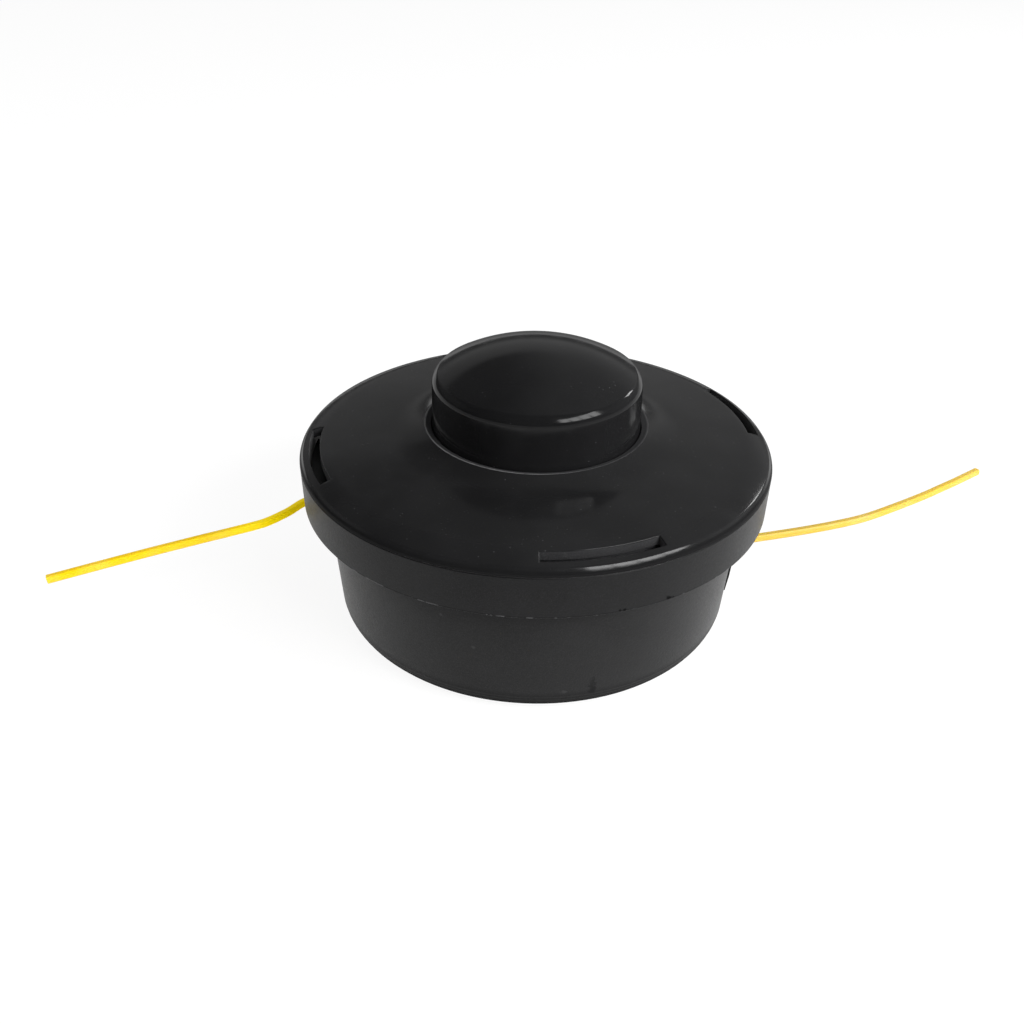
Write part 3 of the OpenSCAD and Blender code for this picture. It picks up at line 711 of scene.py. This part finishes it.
class TRIMMERHEAD_OT_lines(bpy.types.Operator):
    """Sweeps the two ends of the trimmer line"""

    bl_idname = "trimmer_head.lines"
    bl_label = "Line ends"

    def execute(self, context):
        s = settings().line
        half = s.size / 2
        flat = half * 0.62
        section = [(half, -flat), (half, flat), (flat, half), (-flat, half),
                   (-half, flat), (-half, -flat), (-flat, -half), (flat, -half)]
        # The right line takes its darker colour, painted shade; the left line its painted light near the head
        for name, tint, span in (("line_1", s.right_yellow, None), ("line_2", s.left_yellow, (-72 * MM, -90 * MM))):
            points = eased_route(LINE_ROUTES[name], ROUTE_STEPS)
            solid = Solid(name.replace("line", "trimmer_line"))
            solid.tube(points, section, [Vector((0, 0, 1))] * len(points))
            # The left line's material is painted brighter and glowing near the head, painted light
            piece = solid.finish([line_nylon(f"yellow_{name}", tint, s.painted_light_yellow, span)], "housing", [name], "line_nylon", 30.0)
            real = sum((b - a).length for a, b in zip(points, points[1:]))
        return {"FINISHED"}


class TRIMMERHEAD_OT_stage(bpy.types.Operator):
    """Lays the floor and lights the studio"""

    bl_idname = "trimmer_head.stage"
    bl_label = "Stage"

    def execute(self, context):
        s = settings().studio
        self.floor(context, s)
        self.world(context, s)
        self.lamps(context, s)
        return {"FINISHED"}

    def floor(self, context, s):
        half = s.floor_size / 2
        mesh = bpy.data.meshes.new("floor")
        mesh.from_pydata([(-half, -half, 0), (half, -half, 0), (half, half, 0), (-half, half, 0)], [], [(0, 1, 2, 3)])
        floor = bpy.data.objects.new("floor", mesh)
        context.scene.collection.objects.link(floor)
        f = Finish("floor")
        path = f.node("ShaderNodeLightPath")
        seen = Field(f, path.outputs["Is Camera Ray"]) + Field(f, path.outputs["Is Glossy Ray"])
        seen = (seen + Field(f, path.outputs["Is Transmission Ray"])).at_most(1.0)
        matt = f.node("ShaderNodeBsdfDiffuse", None, {"Color": rgba(s.floor_colour)})
        glow = f.node("ShaderNodeEmission", None, {"Color": (1.0, 1.0, 1.0, 1.0), "Strength": 1.05})
        mixed = f.node("ShaderNodeMixShader", None, {0: seen * s.floor_lift, 1: matt.outputs[0], 2: glow.outputs[0]})
        f.node("ShaderNodeOutputMaterial", None, {"Surface": mixed.outputs[0]})
        mesh.materials.append(f.material)

    def world(self, context, s):
        world = bpy.data.worlds.new("room")
        context.scene.world = world
        n = Nodes(world, "Generated")
        across, away, up = (n.axis(letter) for letter in "XYZ")
        side = across.ramp(-0.25, 0.22, s.room_left, s.room_right)
        low = up.ramp(0.10, 0.24, s.horizon, s.wall) * across.ramp(-0.6, 0.1, s.left_share, 1.0)
        low = low + across.ramp(0.45, 0.80, 0.0, s.side_glow)
        glow = up.ramp(0.46, 0.56, 1.0, 0.0)
        glow = low * glow + side * (1.0 - glow)
        glow = glow * away.ramp(-0.25, 0.10, s.front_share, 1.0)
        path = n.node("ShaderNodeLightPath")
        seen = Field(n, path.outputs["Is Glossy Ray"]) * up.ramp(0.0, 0.012, 1.0, 0.0)
        seen = seen + Field(n, path.outputs["Is Camera Ray"]) + Field(n, path.outputs["Is Transmission Ray"])
        seen = seen.at_most(1.0)
        grey = 0.8
        glow = seen * (1.0 / grey) + glow * (1.0 - seen)
        back = n.node("ShaderNodeBackground", None, {"Color": rgba((grey, grey, grey)), "Strength": glow})
        n.node("ShaderNodeOutputWorld", None, {"Surface": back.outputs[0]})

    def lamps(self, context, s):
        # Windows: brightness, panes, azimuth span from +Y towards +X and elevation span, in degrees
        windows = (
            (s.front_window, 4, (104, 154), (27, 43)),
            (s.rear_window, 2, (47, 61), (19, 28)),
        )
        reach = 1.5
        bar = 0.12
        centre = Vector((0, 0, 0.05))
        for number, (bright, panes, (left, right), (low, high)) in enumerate(windows, 1):
            step = (right - left) / panes
            raised = math.radians((low + high) / 2)
            tall = 2 * reach * math.tan(math.radians(high - low) / 2)
            for pane in range(panes):
                a = math.radians(left + step * (pane + 0.5))
                wide = 2 * reach * math.tan(math.radians(step) / 2) * math.cos(raised) * (1 - bar)
                away = Vector((math.sin(a) * math.cos(raised), math.cos(a) * math.cos(raised), math.sin(raised)))
                self.lamp(context, f"window_{number}_{pane + 1}", centre + away * reach, centre, wide, tall, bright)
        fill = self.lamp(context, "fill", Vector((0.3, -0.2, 2.2)), centre, 2.2, 2.2, s.fill)
        side = self.lamp(context, "side_fill", Vector((1.8, -1.0, 0.8)), centre, 1.5, 1.5, s.side_fill)
        left = self.lamp(context, "left_fill", Vector((-1.7, -0.5, 1.2)), centre, 1.5, 1.5, s.left_fill)
        for soft in (fill, side, left):
            soft.visible_glossy = False

    def lamp(self, context, name, at, aim, wide, tall, bright):
        data = bpy.data.lights.new(name, "AREA")
        data.shape = "RECTANGLE"
        data.size, data.size_y = wide, tall
        data.energy = bright * math.pi * wide * tall
        lamp = bpy.data.objects.new(name, data)
        lamp.location = at
        lamp.rotation_mode = "QUATERNION"
        lamp.rotation_quaternion = (aim - at).to_track_quat("-Z", "Y")
        context.scene.collection.objects.link(lamp)
        return lamp


def spot(x, y, z, width, height, strength):
    return (x * MM, y * MM, z * MM), width * MM, height * MM, strength


# Nicks at the skirt's edge and marks on the housing: place, width and height in millimetres, strength
COVER_PITS = (spot(22.3, -60.8, 37.8, 1.2, 1.2, 0.8), spot(21.2, -61.2, 37.8, 0.8, 1.0, 0.7),
              spot(33.3, -55.6, 38.0, 1.9, 1.5, 0.8), spot(34.4, -54.9, 37.6, 1.2, 0.9, 0.7))
HOUSING_PITS = (spot(16.3, -53.6, 5.6, 2.6, 8.5, 0.40), spot(16.2, -53.9, 8.4, 1.6, 6.0, 0.30))
HOUSING_SINKS = (spot(-14.3, -55.5, 21.2, 1.5, 1.2, 0.6), spot(-22.5, -53.6, 29.5, 1.1, 0.9, 0.6),
                 spot(9.0, -55.4, 7.5, 2.0, 1.2, 0.6))


class TRIMMERHEAD_OT_cover(bpy.types.Operator):
    """Builds the cover with its crease, windows, flared collar and ragged skirt edge"""

    bl_idname = "trimmer_head.cover"
    bl_label = "Cover"

    def execute(self, context):
        s = settings().cover
        slope, crown = 27.0, 4.5
        rim_c = (s.rim_radius - s.rim_round, s.crease)
        gap = s.rim_round - s.shoulder_round
        c = (rim_c[0] + gap * math.sin(math.radians(slope)), rim_c[1] + gap * math.cos(math.radians(slope)))
        edge = (s.skirt_inside, s.skirt_inside - s.window_width)
        turn_at = [math.degrees(math.acos((r - c[0]) / s.shoulder_round)) for r in edge]
        inner_round = s.shoulder_round - s.wall
        under_at = [math.degrees(math.acos((r - c[0]) / inner_round)) for r in edge]
        tan = math.tan(math.radians(crown))
        start = arc(c, s.shoulder_round, 90 - crown, 90 - crown, 1)[0]

        def crown_z(r):
            return start[1] + (start[0] - r) * tan

        collar = (s.collar_radius, crown_z(s.collar_radius) + s.collar_rise)
        gloss, satin, inside, edge_highlight, ring = range(5)
        rows = []

        def add(points, zone):
            rows.extend((r, z, zone) for r, z in points)

        foot_r = s.rim_radius - s.skirt_draft
        crease = 0.2 * MM
        skirt = eased([(s.skirt_inside, s.skirt_foot, 0.25 * MM), (foot_r, s.skirt_foot, 0.3 * MM),
                       (s.rim_radius - 0.02 * MM, s.crease - 2.2 * crease, 0.12 * MM),
                       (s.rim_radius - s.crease_depth, s.crease - crease, 0.06 * MM),
                       (s.rim_radius, s.crease + 0.1 * crease, 0.0)])
        add(skirt[:-1], satin)
        add(rounded((s.rim_radius, s.crease), s.rim_round, ((57.0, 0.7478, 7), (50.0, 3.6, 4), (slope, 0.5252, 7)))[:-1], gloss)
        add(arc(c, s.shoulder_round, 90 - slope, turn_at[0], 3)[:-1], gloss)
        window_out = len(rows)
        add(arc(c, s.shoulder_round, turn_at[0], turn_at[1], 6)[:-1], gloss)
        window_in = len(rows)
        add(arc(c, s.shoulder_round, turn_at[1], 90 - crown, 4), gloss)
        flare = self.flare(s, start, collar, crown)
        for share in (0.1, 0.3, 0.5, 0.7, 0.9):
            add([(start[0] + (flare[0][0] - start[0]) * share, start[1] + (flare[0][1] - start[1]) * share)], gloss)
        add(flare[:-1], gloss)
        lip = 0.15 * MM
        collar_foot = collar[1] - 0.5 * MM
        tube_out = s.hole + 2.2 * MM
        under_tube = crown_z(tube_out) - s.wall / math.cos(math.radians(crown))
        mouth = s.hole - 0.2 * MM
        lips = eased([(*flare[-2], 0), (collar[0], collar[1] + 0.02 * MM, 0.08 * MM),
                      (collar[0] - 1.6 * lip, collar[1] + 0.02 * MM, 0.08 * MM),
                      (collar[0] - 3.0 * lip, collar[1] - 0.045 * MM, 0),
                      (mouth, collar_foot, 0.2 * MM), (mouth, collar_foot - 1.2 * MM, 0.1 * MM),
                      (s.hole, collar_foot - 1.5 * MM, 0.1 * MM), (s.hole, s.tube_foot, 0.3 * MM),
                      (tube_out, s.tube_foot, 0.3 * MM), (tube_out, under_tube, 0.5 * MM),
                      (*arc(c, inner_round, 90 - crown, 90 - crown, 1)[0], 0)])
        add(lips[1:-1], gloss)
        for i, (r, z, _) in enumerate(rows):
            if i > window_in and r < collar[0] + 0.01 * MM:
                if z > collar[1] - 0.03 * MM:
                    rows[i] = (r, z, edge_highlight)
                else:
                    rows[i] = (r, z, ring if z > collar_foot - 1.3 * MM else inside)
        add(arc(c, inner_round, 90 - crown, under_at[1], 4)[:-1], inside)
        under_in = len(rows)
        add(arc(c, inner_round, under_at[1], under_at[0], 4), inside)
        under_out = len(rows) - 1

        solid = Solid("cover_shell")
        columns, spans = self.columns(s)
        grid = solid.turned([(r, z) for r, z, _ in rows], columns, [zone for *_, zone in rows])
        self.cut_windows(solid, grid, spans, window_out, window_in, under_in, under_out)
        self.inside(solid, s, crown_z, inside)
        h = settings()
        materials = [
            moulded_gloss("cover_gloss", h.cover.gloss_black, 0.13, (50.4 * MM, 51.0 * MM)),
            moulded_satin("cover_satin", h.cover.satin_black, 0.42, COVER_PITS, flash=(37.6 * MM, 37.95 * MM)),
            # Painted light: the inside, window walls and hole wall are painted 3.6 times paler than the skirt, against
            # the shade in these recesses
            moulded_satin("cover_inside_painted_light", shade(h.cover.satin_black, 3.6), 0.5),
            # Painted highlight on the collar's edge, palest on the left
            painted_highlight_edge("cover_edge", s.edge_highlight_grey, h.cover.gloss_black),
            # Painted light: the ring beside the knob is painted paler, a dull film four times the skirt black, against
            # the shade it lies in
            moulded_satin("cover_ring_painted_light", shade(h.cover.satin_black, 16.0), 0.5, foot=(60 * MM, 61 * MM)),
        ]
        solid.finish(materials, "cover", ["cover"], "cover_plastic", 32.0)
        return {"FINISHED"}

    def flare(self, s, start, collar, crown):
        """Hollow flare from the crown up to the collar's edge."""
        a = math.radians(crown)
        along, normal = Vector((-math.cos(a), math.sin(a))), Vector((math.sin(a), math.cos(a)))
        reach_to = Vector(collar) - Vector(start)
        rise = reach_to.dot(normal)
        reach = reach_to.dot(along) - math.sqrt(2 * s.flare * rise - rise * rise)
        centre = Vector(start) + along * reach + normal * s.flare
        end = math.degrees(math.atan2(collar[1] - centre.y, collar[0] - centre.x))
        return arc(centre, s.flare, -90 - crown, end, 14)

    def middles(self, s):
        """Directions of the windows."""
        return [s.first_window + math.pi / 2 * quarter + s.window_key * math.cos(math.pi / 2 * quarter)
                for quarter in range(4)]

    def columns(self, s):
        """Angles of the cover's columns, about a degree apart, and the span of columns that each window takes."""
        angles, spans = [], []
        middles = self.middles(s)
        for middle, after in zip(middles, middles[1:] + [middles[0] + 2 * math.pi]):
            ends = (middle - s.window_arc / 2, middle + s.window_arc / 2, after - s.window_arc / 2)
            for start, end in zip(ends, ends[1:]):
                count = round(math.degrees(end - start))
                if start == ends[0]:
                    spans.append(range(len(angles), len(angles) + count))
                angles += [start + (end - start) * step / count for step in range(count)]
        return angles, spans

    def cut_windows(self, solid, grid, spans, window_out, window_in, under_in, under_out):
        bm = solid.bm
        columns = len(grid)
        rims = []
        for span in spans:
            doomed = []
            first, last = span[0], span[-1] + 1
            for column in span:
                here, there = grid[column % columns], grid[(column + 1) % columns]
                for rows in (range(window_out, window_in), range(under_in, under_out)):
                    for row in rows:
                        doomed += [f for f in here[row].link_faces
                                   if {here[row], here[row + 1], there[row], there[row + 1]} == set(f.verts)]
            bmesh.ops.delete(bm, geom=doomed, context="FACES_ONLY")
            for top, bottom in ((window_out, under_out), (window_in, under_in)):
                for column in range(first, last):
                    here, there = grid[column % columns], grid[(column + 1) % columns]
                    bm.faces.new((here[top], there[top], there[bottom], here[bottom])).material_index = 2
                    rims.append(bm.edges.get((here[top], there[top])))
            for column in (first, last):
                here = grid[column % columns]
                bm.faces.new(here[window_out:window_in + 1] + here[under_in:under_out + 1]).material_index = 2
                rims += [bm.edges.get((here[row], here[row + 1])) for row in range(window_out, window_in)]
        bm.verts.index_update()
        loose = [e for e in bm.edges if not e.link_faces]
        bmesh.ops.delete(bm, geom=loose, context="EDGES")
        loose = [v for v in bm.verts if not v.link_faces]
        bmesh.ops.delete(bm, geom=loose, context="VERTS")
        bmesh.ops.recalc_face_normals(bm, faces=bm.faces)
        bmesh.ops.bevel(bm, geom=rims, offset=0.28 * MM, offset_type="OFFSET", segments=3, profile=0.5,
                        affect="EDGES", clamp_overlap=True, material=0)

    def inside(self, solid, s, crown_z, zone):
        """Ledges, seating ring and ribs under the crown."""
        half = math.degrees(s.window_arc) / 2
        for middle in map(math.degrees, self.middles(s)):
            solid.sector(s.skirt_inside - s.window_width, s.skirt_inside + 0.6 * MM, 42.2 * MM, 44.7 * MM,
                         middle - half, middle + half, 28, zone)
        under = crown_z(56.2 * MM) - s.wall + 0.6 * MM
        solid.turned([(56.2 * MM, 48.5 * MM), (58.4 * MM, 48.5 * MM), (58.4 * MM, under), (56.2 * MM, under)],
                     120, [zone] * 4)
        half_rib = 0.8 * MM
        inner, outer = s.hole + 1.6 * MM, 56.8 * MM
        for rib in range(12):
            turn = Matrix.Rotation(math.radians(30 * rib), 3, "Z")
            sides = [[solid.bm.verts.new(turn @ Vector((r, y, z))) for r, z in (
                (inner, 49.1 * MM), (outer, 49.1 * MM), (outer, crown_z(outer) - s.wall + 0.6 * MM),
                (inner, crown_z(inner) - s.wall + 0.6 * MM))] for y in (-half_rib, half_rib)]
            solid.skin(sides, zone=zone)


class TRIMMERHEAD_OT_knob(bpy.types.Operator):
    """Builds the bump knob"""

    bl_idname = "trimmer_head.knob"
    bl_label = "Bump knob"

    def execute(self, context):
        s = settings().knob
        slope = math.degrees(s.dome_slope)
        c = (s.radius - s.shoulder_round, s.shoulder)
        dome = c[0] / math.sin(s.dome_slope) + s.shoulder_round
        dome_c = (0.0, s.shoulder + (s.shoulder_round - dome) * math.cos(s.dome_slope))
        outer = eased([(s.foot_radius - s.wall, s.foot, 0.2 * MM), (s.foot_radius, s.foot, 0.3 * MM),
                       (s.foot_radius, s.side_foot, 0.0)])
        outer += [(s.foot_radius + (s.radius - s.foot_radius) * t, s.side_foot + (s.shoulder - s.side_foot) * t)
                  for t in (0.25, 0.5, 0.75)]
        outer += rounded((s.radius, s.shoulder), s.shoulder_round,
                         ((58.0, 0.8649, 9), (49.0, 2.1622, 5), (slope, 0.6480, 7)))[:-1]
        outer += arc(dome_c, dome, 90 - slope, 90, 30)
        inner = arc(dome_c, dome - s.wall, 90, 90 - slope, 16)[:-1]
        inner += arc(c, s.shoulder_round - s.wall, 90 - slope, 0, 4)
        outer = [(max(r, 0.0), z) for r, z in outer]
        inner = [(max(r, 0.0), z) for r, z in inner]
        solid = Solid("knob_cap")
        self.skin_from_axis(solid, outer, inner, 240)
        self.bosses(solid, s)
        shoulder_top = s.shoulder + s.shoulder_round * math.cos(s.dome_slope)
        gloss = moulded_gloss("knob_gloss", s.black, 0.085, rubbed=(s.shoulder, shoulder_top))
        solid.finish([gloss], "spool", ["bump_knob"], "knob_plastic", 32.0)
        return {"FINISHED"}

    def skin_from_axis(self, solid, outer, inner, columns):
        """Turned shell whose two skins each close on the axis."""
        bm = solid.bm
        outline = outer[:-1] + [None] + inner[1:]
        top, under = bm.verts.new((0, 0, outer[-1][1])), bm.verts.new((0, 0, inner[0][1]))
        grid = []
        for column in range(columns):
            a = 2 * math.pi * column / columns
            grid.append([None if p is None else bm.verts.new((p[0] * math.cos(a), p[0] * math.sin(a), p[1]))
                         for p in outline])
        split = len(outer) - 1
        for column in range(columns):
            here, there = grid[column], grid[(column + 1) % columns]
            for row in range(len(outline)):
                lower = (row + 1) % len(outline)
                if row == split or lower == split:
                    continue
                bm.faces.new((here[row], there[row], there[lower], here[lower]))
            bm.faces.new((here[split - 1], there[split - 1], top))
            bm.faces.new((there[split + 1], here[split + 1], under))

    def bosses(self, solid, s):
        """Three screw bosses and the ribs that tie them to the wall."""
        at, radius, hole = 21 * MM, 3.2 * MM, 1.55 * MM
        low, floor, high = 36.5 * MM, 51 * MM, 72.6 * MM
        for number in range(3):
            turn = Matrix.Rotation(math.radians(120 * number), 4, "Z") @ Matrix.Translation((at, 0, 0))
            outline = eased([(hole, low, 0.1 * MM), (radius, low, 0.15 * MM), (radius, high, 0), (0.01 * MM, high, 0),
                             (0.01 * MM, floor, 0), (hole, floor, 0)])
            before = len(solid.bm.verts)
            solid.turned(outline, 40)
            solid.bm.verts.ensure_lookup_table()
            for vert in solid.bm.verts[before:]:
                vert.co = turn @ vert.co
            turn = Matrix.Rotation(math.radians(120 * number), 3, "Z")
            sides = [[solid.bm.verts.new(turn @ Vector((x, y, z))) for x, z in (
                (at + radius - 0.4 * MM, 41.5 * MM), (s.radius - s.wall + 0.4 * MM, 41.5 * MM),
                (s.radius - s.wall + 0.4 * MM, 68 * MM), (at + radius - 0.4 * MM, 70 * MM))]
                for y in (-0.8 * MM, 0.8 * MM)]
            solid.skin(sides)


class TRIMMERHEAD_OT_housing(bpy.types.Operator):
    """Finishes the housing"""

    bl_idname = "trimmer_head.housing"
    bl_label = "Housing"

    def execute(self, context):
        s = settings().housing
        # Painted shade: the housing is dull and darker towards the bottom, where it stands on the floor
        dress(moulded_satin("housing_satin", s.black, 0.40, HOUSING_PITS, HOUSING_SINKS, foot=(2.5 * MM, 8 * MM)), "housing")
        return {"FINISHED"}


class TRIMMERHEAD_OT_eyelets(bpy.types.Operator):
    """Turns the two rolled steel eyelets"""

    bl_idname = "trimmer_head.eyelets"
    bl_label = "Eyelets"

    def execute(self, context):
        s = settings().housing
        material = metal("eyelet_zinc", settings().hardware.steel, 0.27, (1.0, 1.0, 6.0))
        seat, bore, flange = s.eyelet_seat, 3 * MM, 5.6 * MM
        tube, lip = 3.8 * MM, 4.6 * MM
        inner = seat - 3.8 * MM
        outline = eased([(bore, inner, 0.25 * MM), (lip, inner, 0.35 * MM), (lip, inner + 0.8 * MM, 0.3 * MM),
                         (tube, inner + 0.8 * MM, 0.15 * MM), (tube, seat, 0.05 * MM), (flange, seat, 0.15 * MM),
                         (flange, seat + 0.6 * MM, 0.35 * MM), (flange - 0.9 * MM, seat + 1.1 * MM, 0.5 * MM),
                         (bore + 1 * MM, seat + 1.1 * MM, 0.4 * MM), (bore, seat + 0.1 * MM, 0.5 * MM)], 5)
        for number in (1, 2):
            around = Matrix.Rotation(s.first_eyelet + math.pi * (number - 1), 4, "Z")
            place = Matrix.Translation((0, 0, s.eyelet_height)) @ around @ Matrix.Rotation(math.pi / 2, 4, "Y")
            solid = Solid(f"rolled_eyelet_{number}")
            solid.turned(outline, 96)
            solid.bm.transform(place)
            solid.finish([material], "housing", [f"eyelet_{number}"], "zinc_steel", 40.0)
        return {"FINISHED"}


class TRIMMERHEAD_OT_arbor_nut(bpy.types.Operator):
    """Cuts the arbor nut with its thread"""

    bl_idname = "trimmer_head.arbor_nut"
    bl_label = "Arbor nut"

    def execute(self, context):
        s = settings().hardware
        foot, top = s.nut_foot, s.nut_foot + s.nut_height
        corner = s.nut_flats / 2 / math.cos(math.pi / 6)
        turned = corner - s.nut_chamfer
        columns = 144
        steps = 90
        crest, root = s.thread_bore / 2, s.thread / 2
        solid = Solid("threaded_nut")
        grid = []
        for column in range(columns):
            a = 2 * math.pi * column / columns
            flat = (a % (math.pi / 3)) - math.pi / 6
            # The hexagon's corners lie on the X axis
            hexagon = s.nut_flats / 2 / math.cos(flat)
            ends = min(hexagon, turned)
            drop = hexagon - ends
            c, n = math.cos(a), math.sin(a)
            points = [(ends, foot), (hexagon, foot + drop), (hexagon, top - drop), (ends, top)]
            for step in range(steps + 1):
                z = top + (foot - top) * step / steps
                phase = (z / s.pitch - a / (2 * math.pi)) % 1.0
                cut = min(max(1.6 * (1 - abs(2 * phase - 1)) - 0.25, 0.0), 1.0)
                lead = max(0.0, 1.0 - min(z - foot, top - z) / (0.6 * MM))
                points.append((crest + (root - crest) * max(cut, lead), z))
            grid.append([solid.bm.verts.new((r * c, r * n, z)) for r, z in points])
        solid.skin(grid, closed=True)
        solid.finish([metal("nut_zinc", s.steel, 0.3)], "housing", ["arbor_nut"], "zinc_steel", 35.0)
        return {"FINISHED"}


class TRIMMERHEAD_OT_spring(bpy.types.Operator):
    """Coils the spring"""

    bl_idname = "trimmer_head.spring"
    bl_label = "Spring"

    def execute(self, context):
        s = settings().hardware
        around, sides = 64, 16
        total = s.turns * around
        room = s.wire / 2 + 0.02 * MM
        low, high = s.spring_foot + room, s.spring_foot + s.spring_height - room
        dead = 0.75 / s.turns
        solid = Solid("coil_spring")
        rings = []
        for i in range(total + 1):
            t = i / total
            lift = 0.0 if t < dead else 1.0 if t > 1 - dead else (1 - math.cos(math.pi * (t - dead) / (1 - 2 * dead))) / 2
            a = 2 * math.pi * i / around
            z = low + (high - low) * lift
            ring = []
            for k in range(sides):
                b = 2 * math.pi * k / sides
                r = s.coil_radius + s.wire / 2 * math.cos(b)
                ring.append(solid.bm.verts.new((r * math.cos(a), r * math.sin(a), z + s.wire / 2 * math.sin(b))))
            rings.append(ring)
        solid.skin(rings)
        piece = solid.finish([metal("spring_wire", s.spring_steel, 0.34, (4.0, 4.0, 1.0))], "housing",
                             ["spring"], "spring_steel", 50.0)
        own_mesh(piece)
        return {"FINISHED"}


class TRIMMERHEAD_OT_windings(bpy.types.Operator):
    """Winds the two layers of line on the spool"""

    bl_idname = "trimmer_head.windings"
    bl_label = "Wound line"

    def execute(self, context):
        material = line_nylon("wound_yellow", settings().line.left_yellow)
        for name in ("winding_lower", "winding_upper"):
            low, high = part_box(name)
            pitch = (high.z - low.z) / 5
            radius = high.x - pitch / 2
            solid = Solid(name.replace("winding", "wound_line"))
            outline = [(27.05 * MM, low.z)]
            layers = 4
            step = (radius - 27.05 * MM) / layers
            for layer in range(layers):
                outline += [(27.05 * MM + step * (layer + t), low.z + 0.5 * MM * (1 - math.sin(math.pi * t)))
                            for t in (0.0, 0.25, 0.5, 0.75)]
            outline += [(radius, low.z + 0.5 * MM), (radius, high.z - 0.5 * MM)]
            for layer in reversed(range(layers)):
                outline += [(27.05 * MM + step * (layer + t), high.z - 0.5 * MM * (1 - math.sin(math.pi * t)))
                            for t in (0.75, 0.5, 0.25)]
            outline += [(27.05 * MM, high.z)]
            solid.turned(outline[1:], 120)
            around, turns, sides = 72, 4, 12
            points = []
            for i in range(around * turns + 1):
                a = 2 * math.pi * i / around
                points.append(Vector((radius * math.cos(a), radius * math.sin(a),
                                      low.z + pitch / 2 + pitch * i / around)))
            section = [(pitch / 2 * math.cos(2 * math.pi * k / sides), pitch / 2 * math.sin(2 * math.pi * k / sides))
                       for k in range(sides)]
            solid.tube(points, section, [Vector((0, 0, 1))] * len(points))
            solid.finish([material], "spool", [name], "line_nylon", 50.0)
        return {"FINISHED"}


class TRIMMERHEAD_OT_spool(bpy.types.Operator):
    """Finishes the spool and the washer that it turns on"""

    bl_idname = "trimmer_head.spool"
    bl_label = "Spool and thrust washer"

    def execute(self, context):
        s = settings().hardware
        dress(pale_nylon("spool_white", s.spool, 0.42), "spool")
        dress(pale_nylon("washer_nylon", s.nylon, 0.36), "thrust_washer")
        return {"FINISHED"}


class TRIMMERHEAD_OT_spindle(bpy.types.Operator):
    """Finishes the spindle, its seat and the screws"""

    bl_idname = "trimmer_head.spindle"
    bl_label = "Spindle and screws"

    def execute(self, context):
        s = settings().hardware
        dress(metal("spindle_alloy", s.alloy, 0.3, (1.0, 1.0, 8.0)), "spindle")
        dress(metal("plated_steel", s.steel, 0.28), "spring_seat",
              *[f"{kind}_screw_{n}" for kind in ("spindle", "knob") for n in (1, 2, 3)])
        return {"FINISHED"}


OPERATORS = (
    TRIMMERHEAD_OT_camera, TRIMMERHEAD_OT_lines, TRIMMERHEAD_OT_stage, TRIMMERHEAD_OT_cover,
    TRIMMERHEAD_OT_knob, TRIMMERHEAD_OT_housing, TRIMMERHEAD_OT_eyelets, TRIMMERHEAD_OT_arbor_nut,
    TRIMMERHEAD_OT_spring, TRIMMERHEAD_OT_windings, TRIMMERHEAD_OT_spool, TRIMMERHEAD_OT_spindle,
)


class TRIMMERHEAD_PT_pieces(bpy.types.Panel):
    """Lists what the add-on builds"""

    bl_idname = "TRIMMERHEAD_PT_pieces"
    bl_label = "Trimmer Head"
    bl_space_type = "VIEW_3D"
    bl_region_type = "UI"
    bl_category = "Trimmer Head"

    def draw(self, context):
        for operator in OPERATORS:
            self.layout.operator(operator.bl_idname)
        for name in GROUPS:
            box = self.layout.box()
            box.label(text=name.title())
            group = getattr(context.scene.trimmer_head, name)
            for key in group.__annotations__:
                box.prop(group, key)


CLASSES = (*GROUPS.values(), TrimmerHeadSettings, *OPERATORS, TRIMMERHEAD_PT_pieces)


def register():
    for cls in CLASSES:
        bpy.utils.register_class(cls)
    bpy.types.Scene.trimmer_head = PointerProperty(type=TrimmerHeadSettings)


def unregister():
    del bpy.types.Scene.trimmer_head
    for cls in reversed(CLASSES):
        bpy.utils.unregister_class(cls)


def main():
    register()
    for operator in OPERATORS:
        group, name = operator.bl_idname.split(".")
        getattr(getattr(bpy.ops, group), name)()
    bpy.context.scene.view_settings.view_transform = "Standard"


if __name__ == "__main__":
    main()
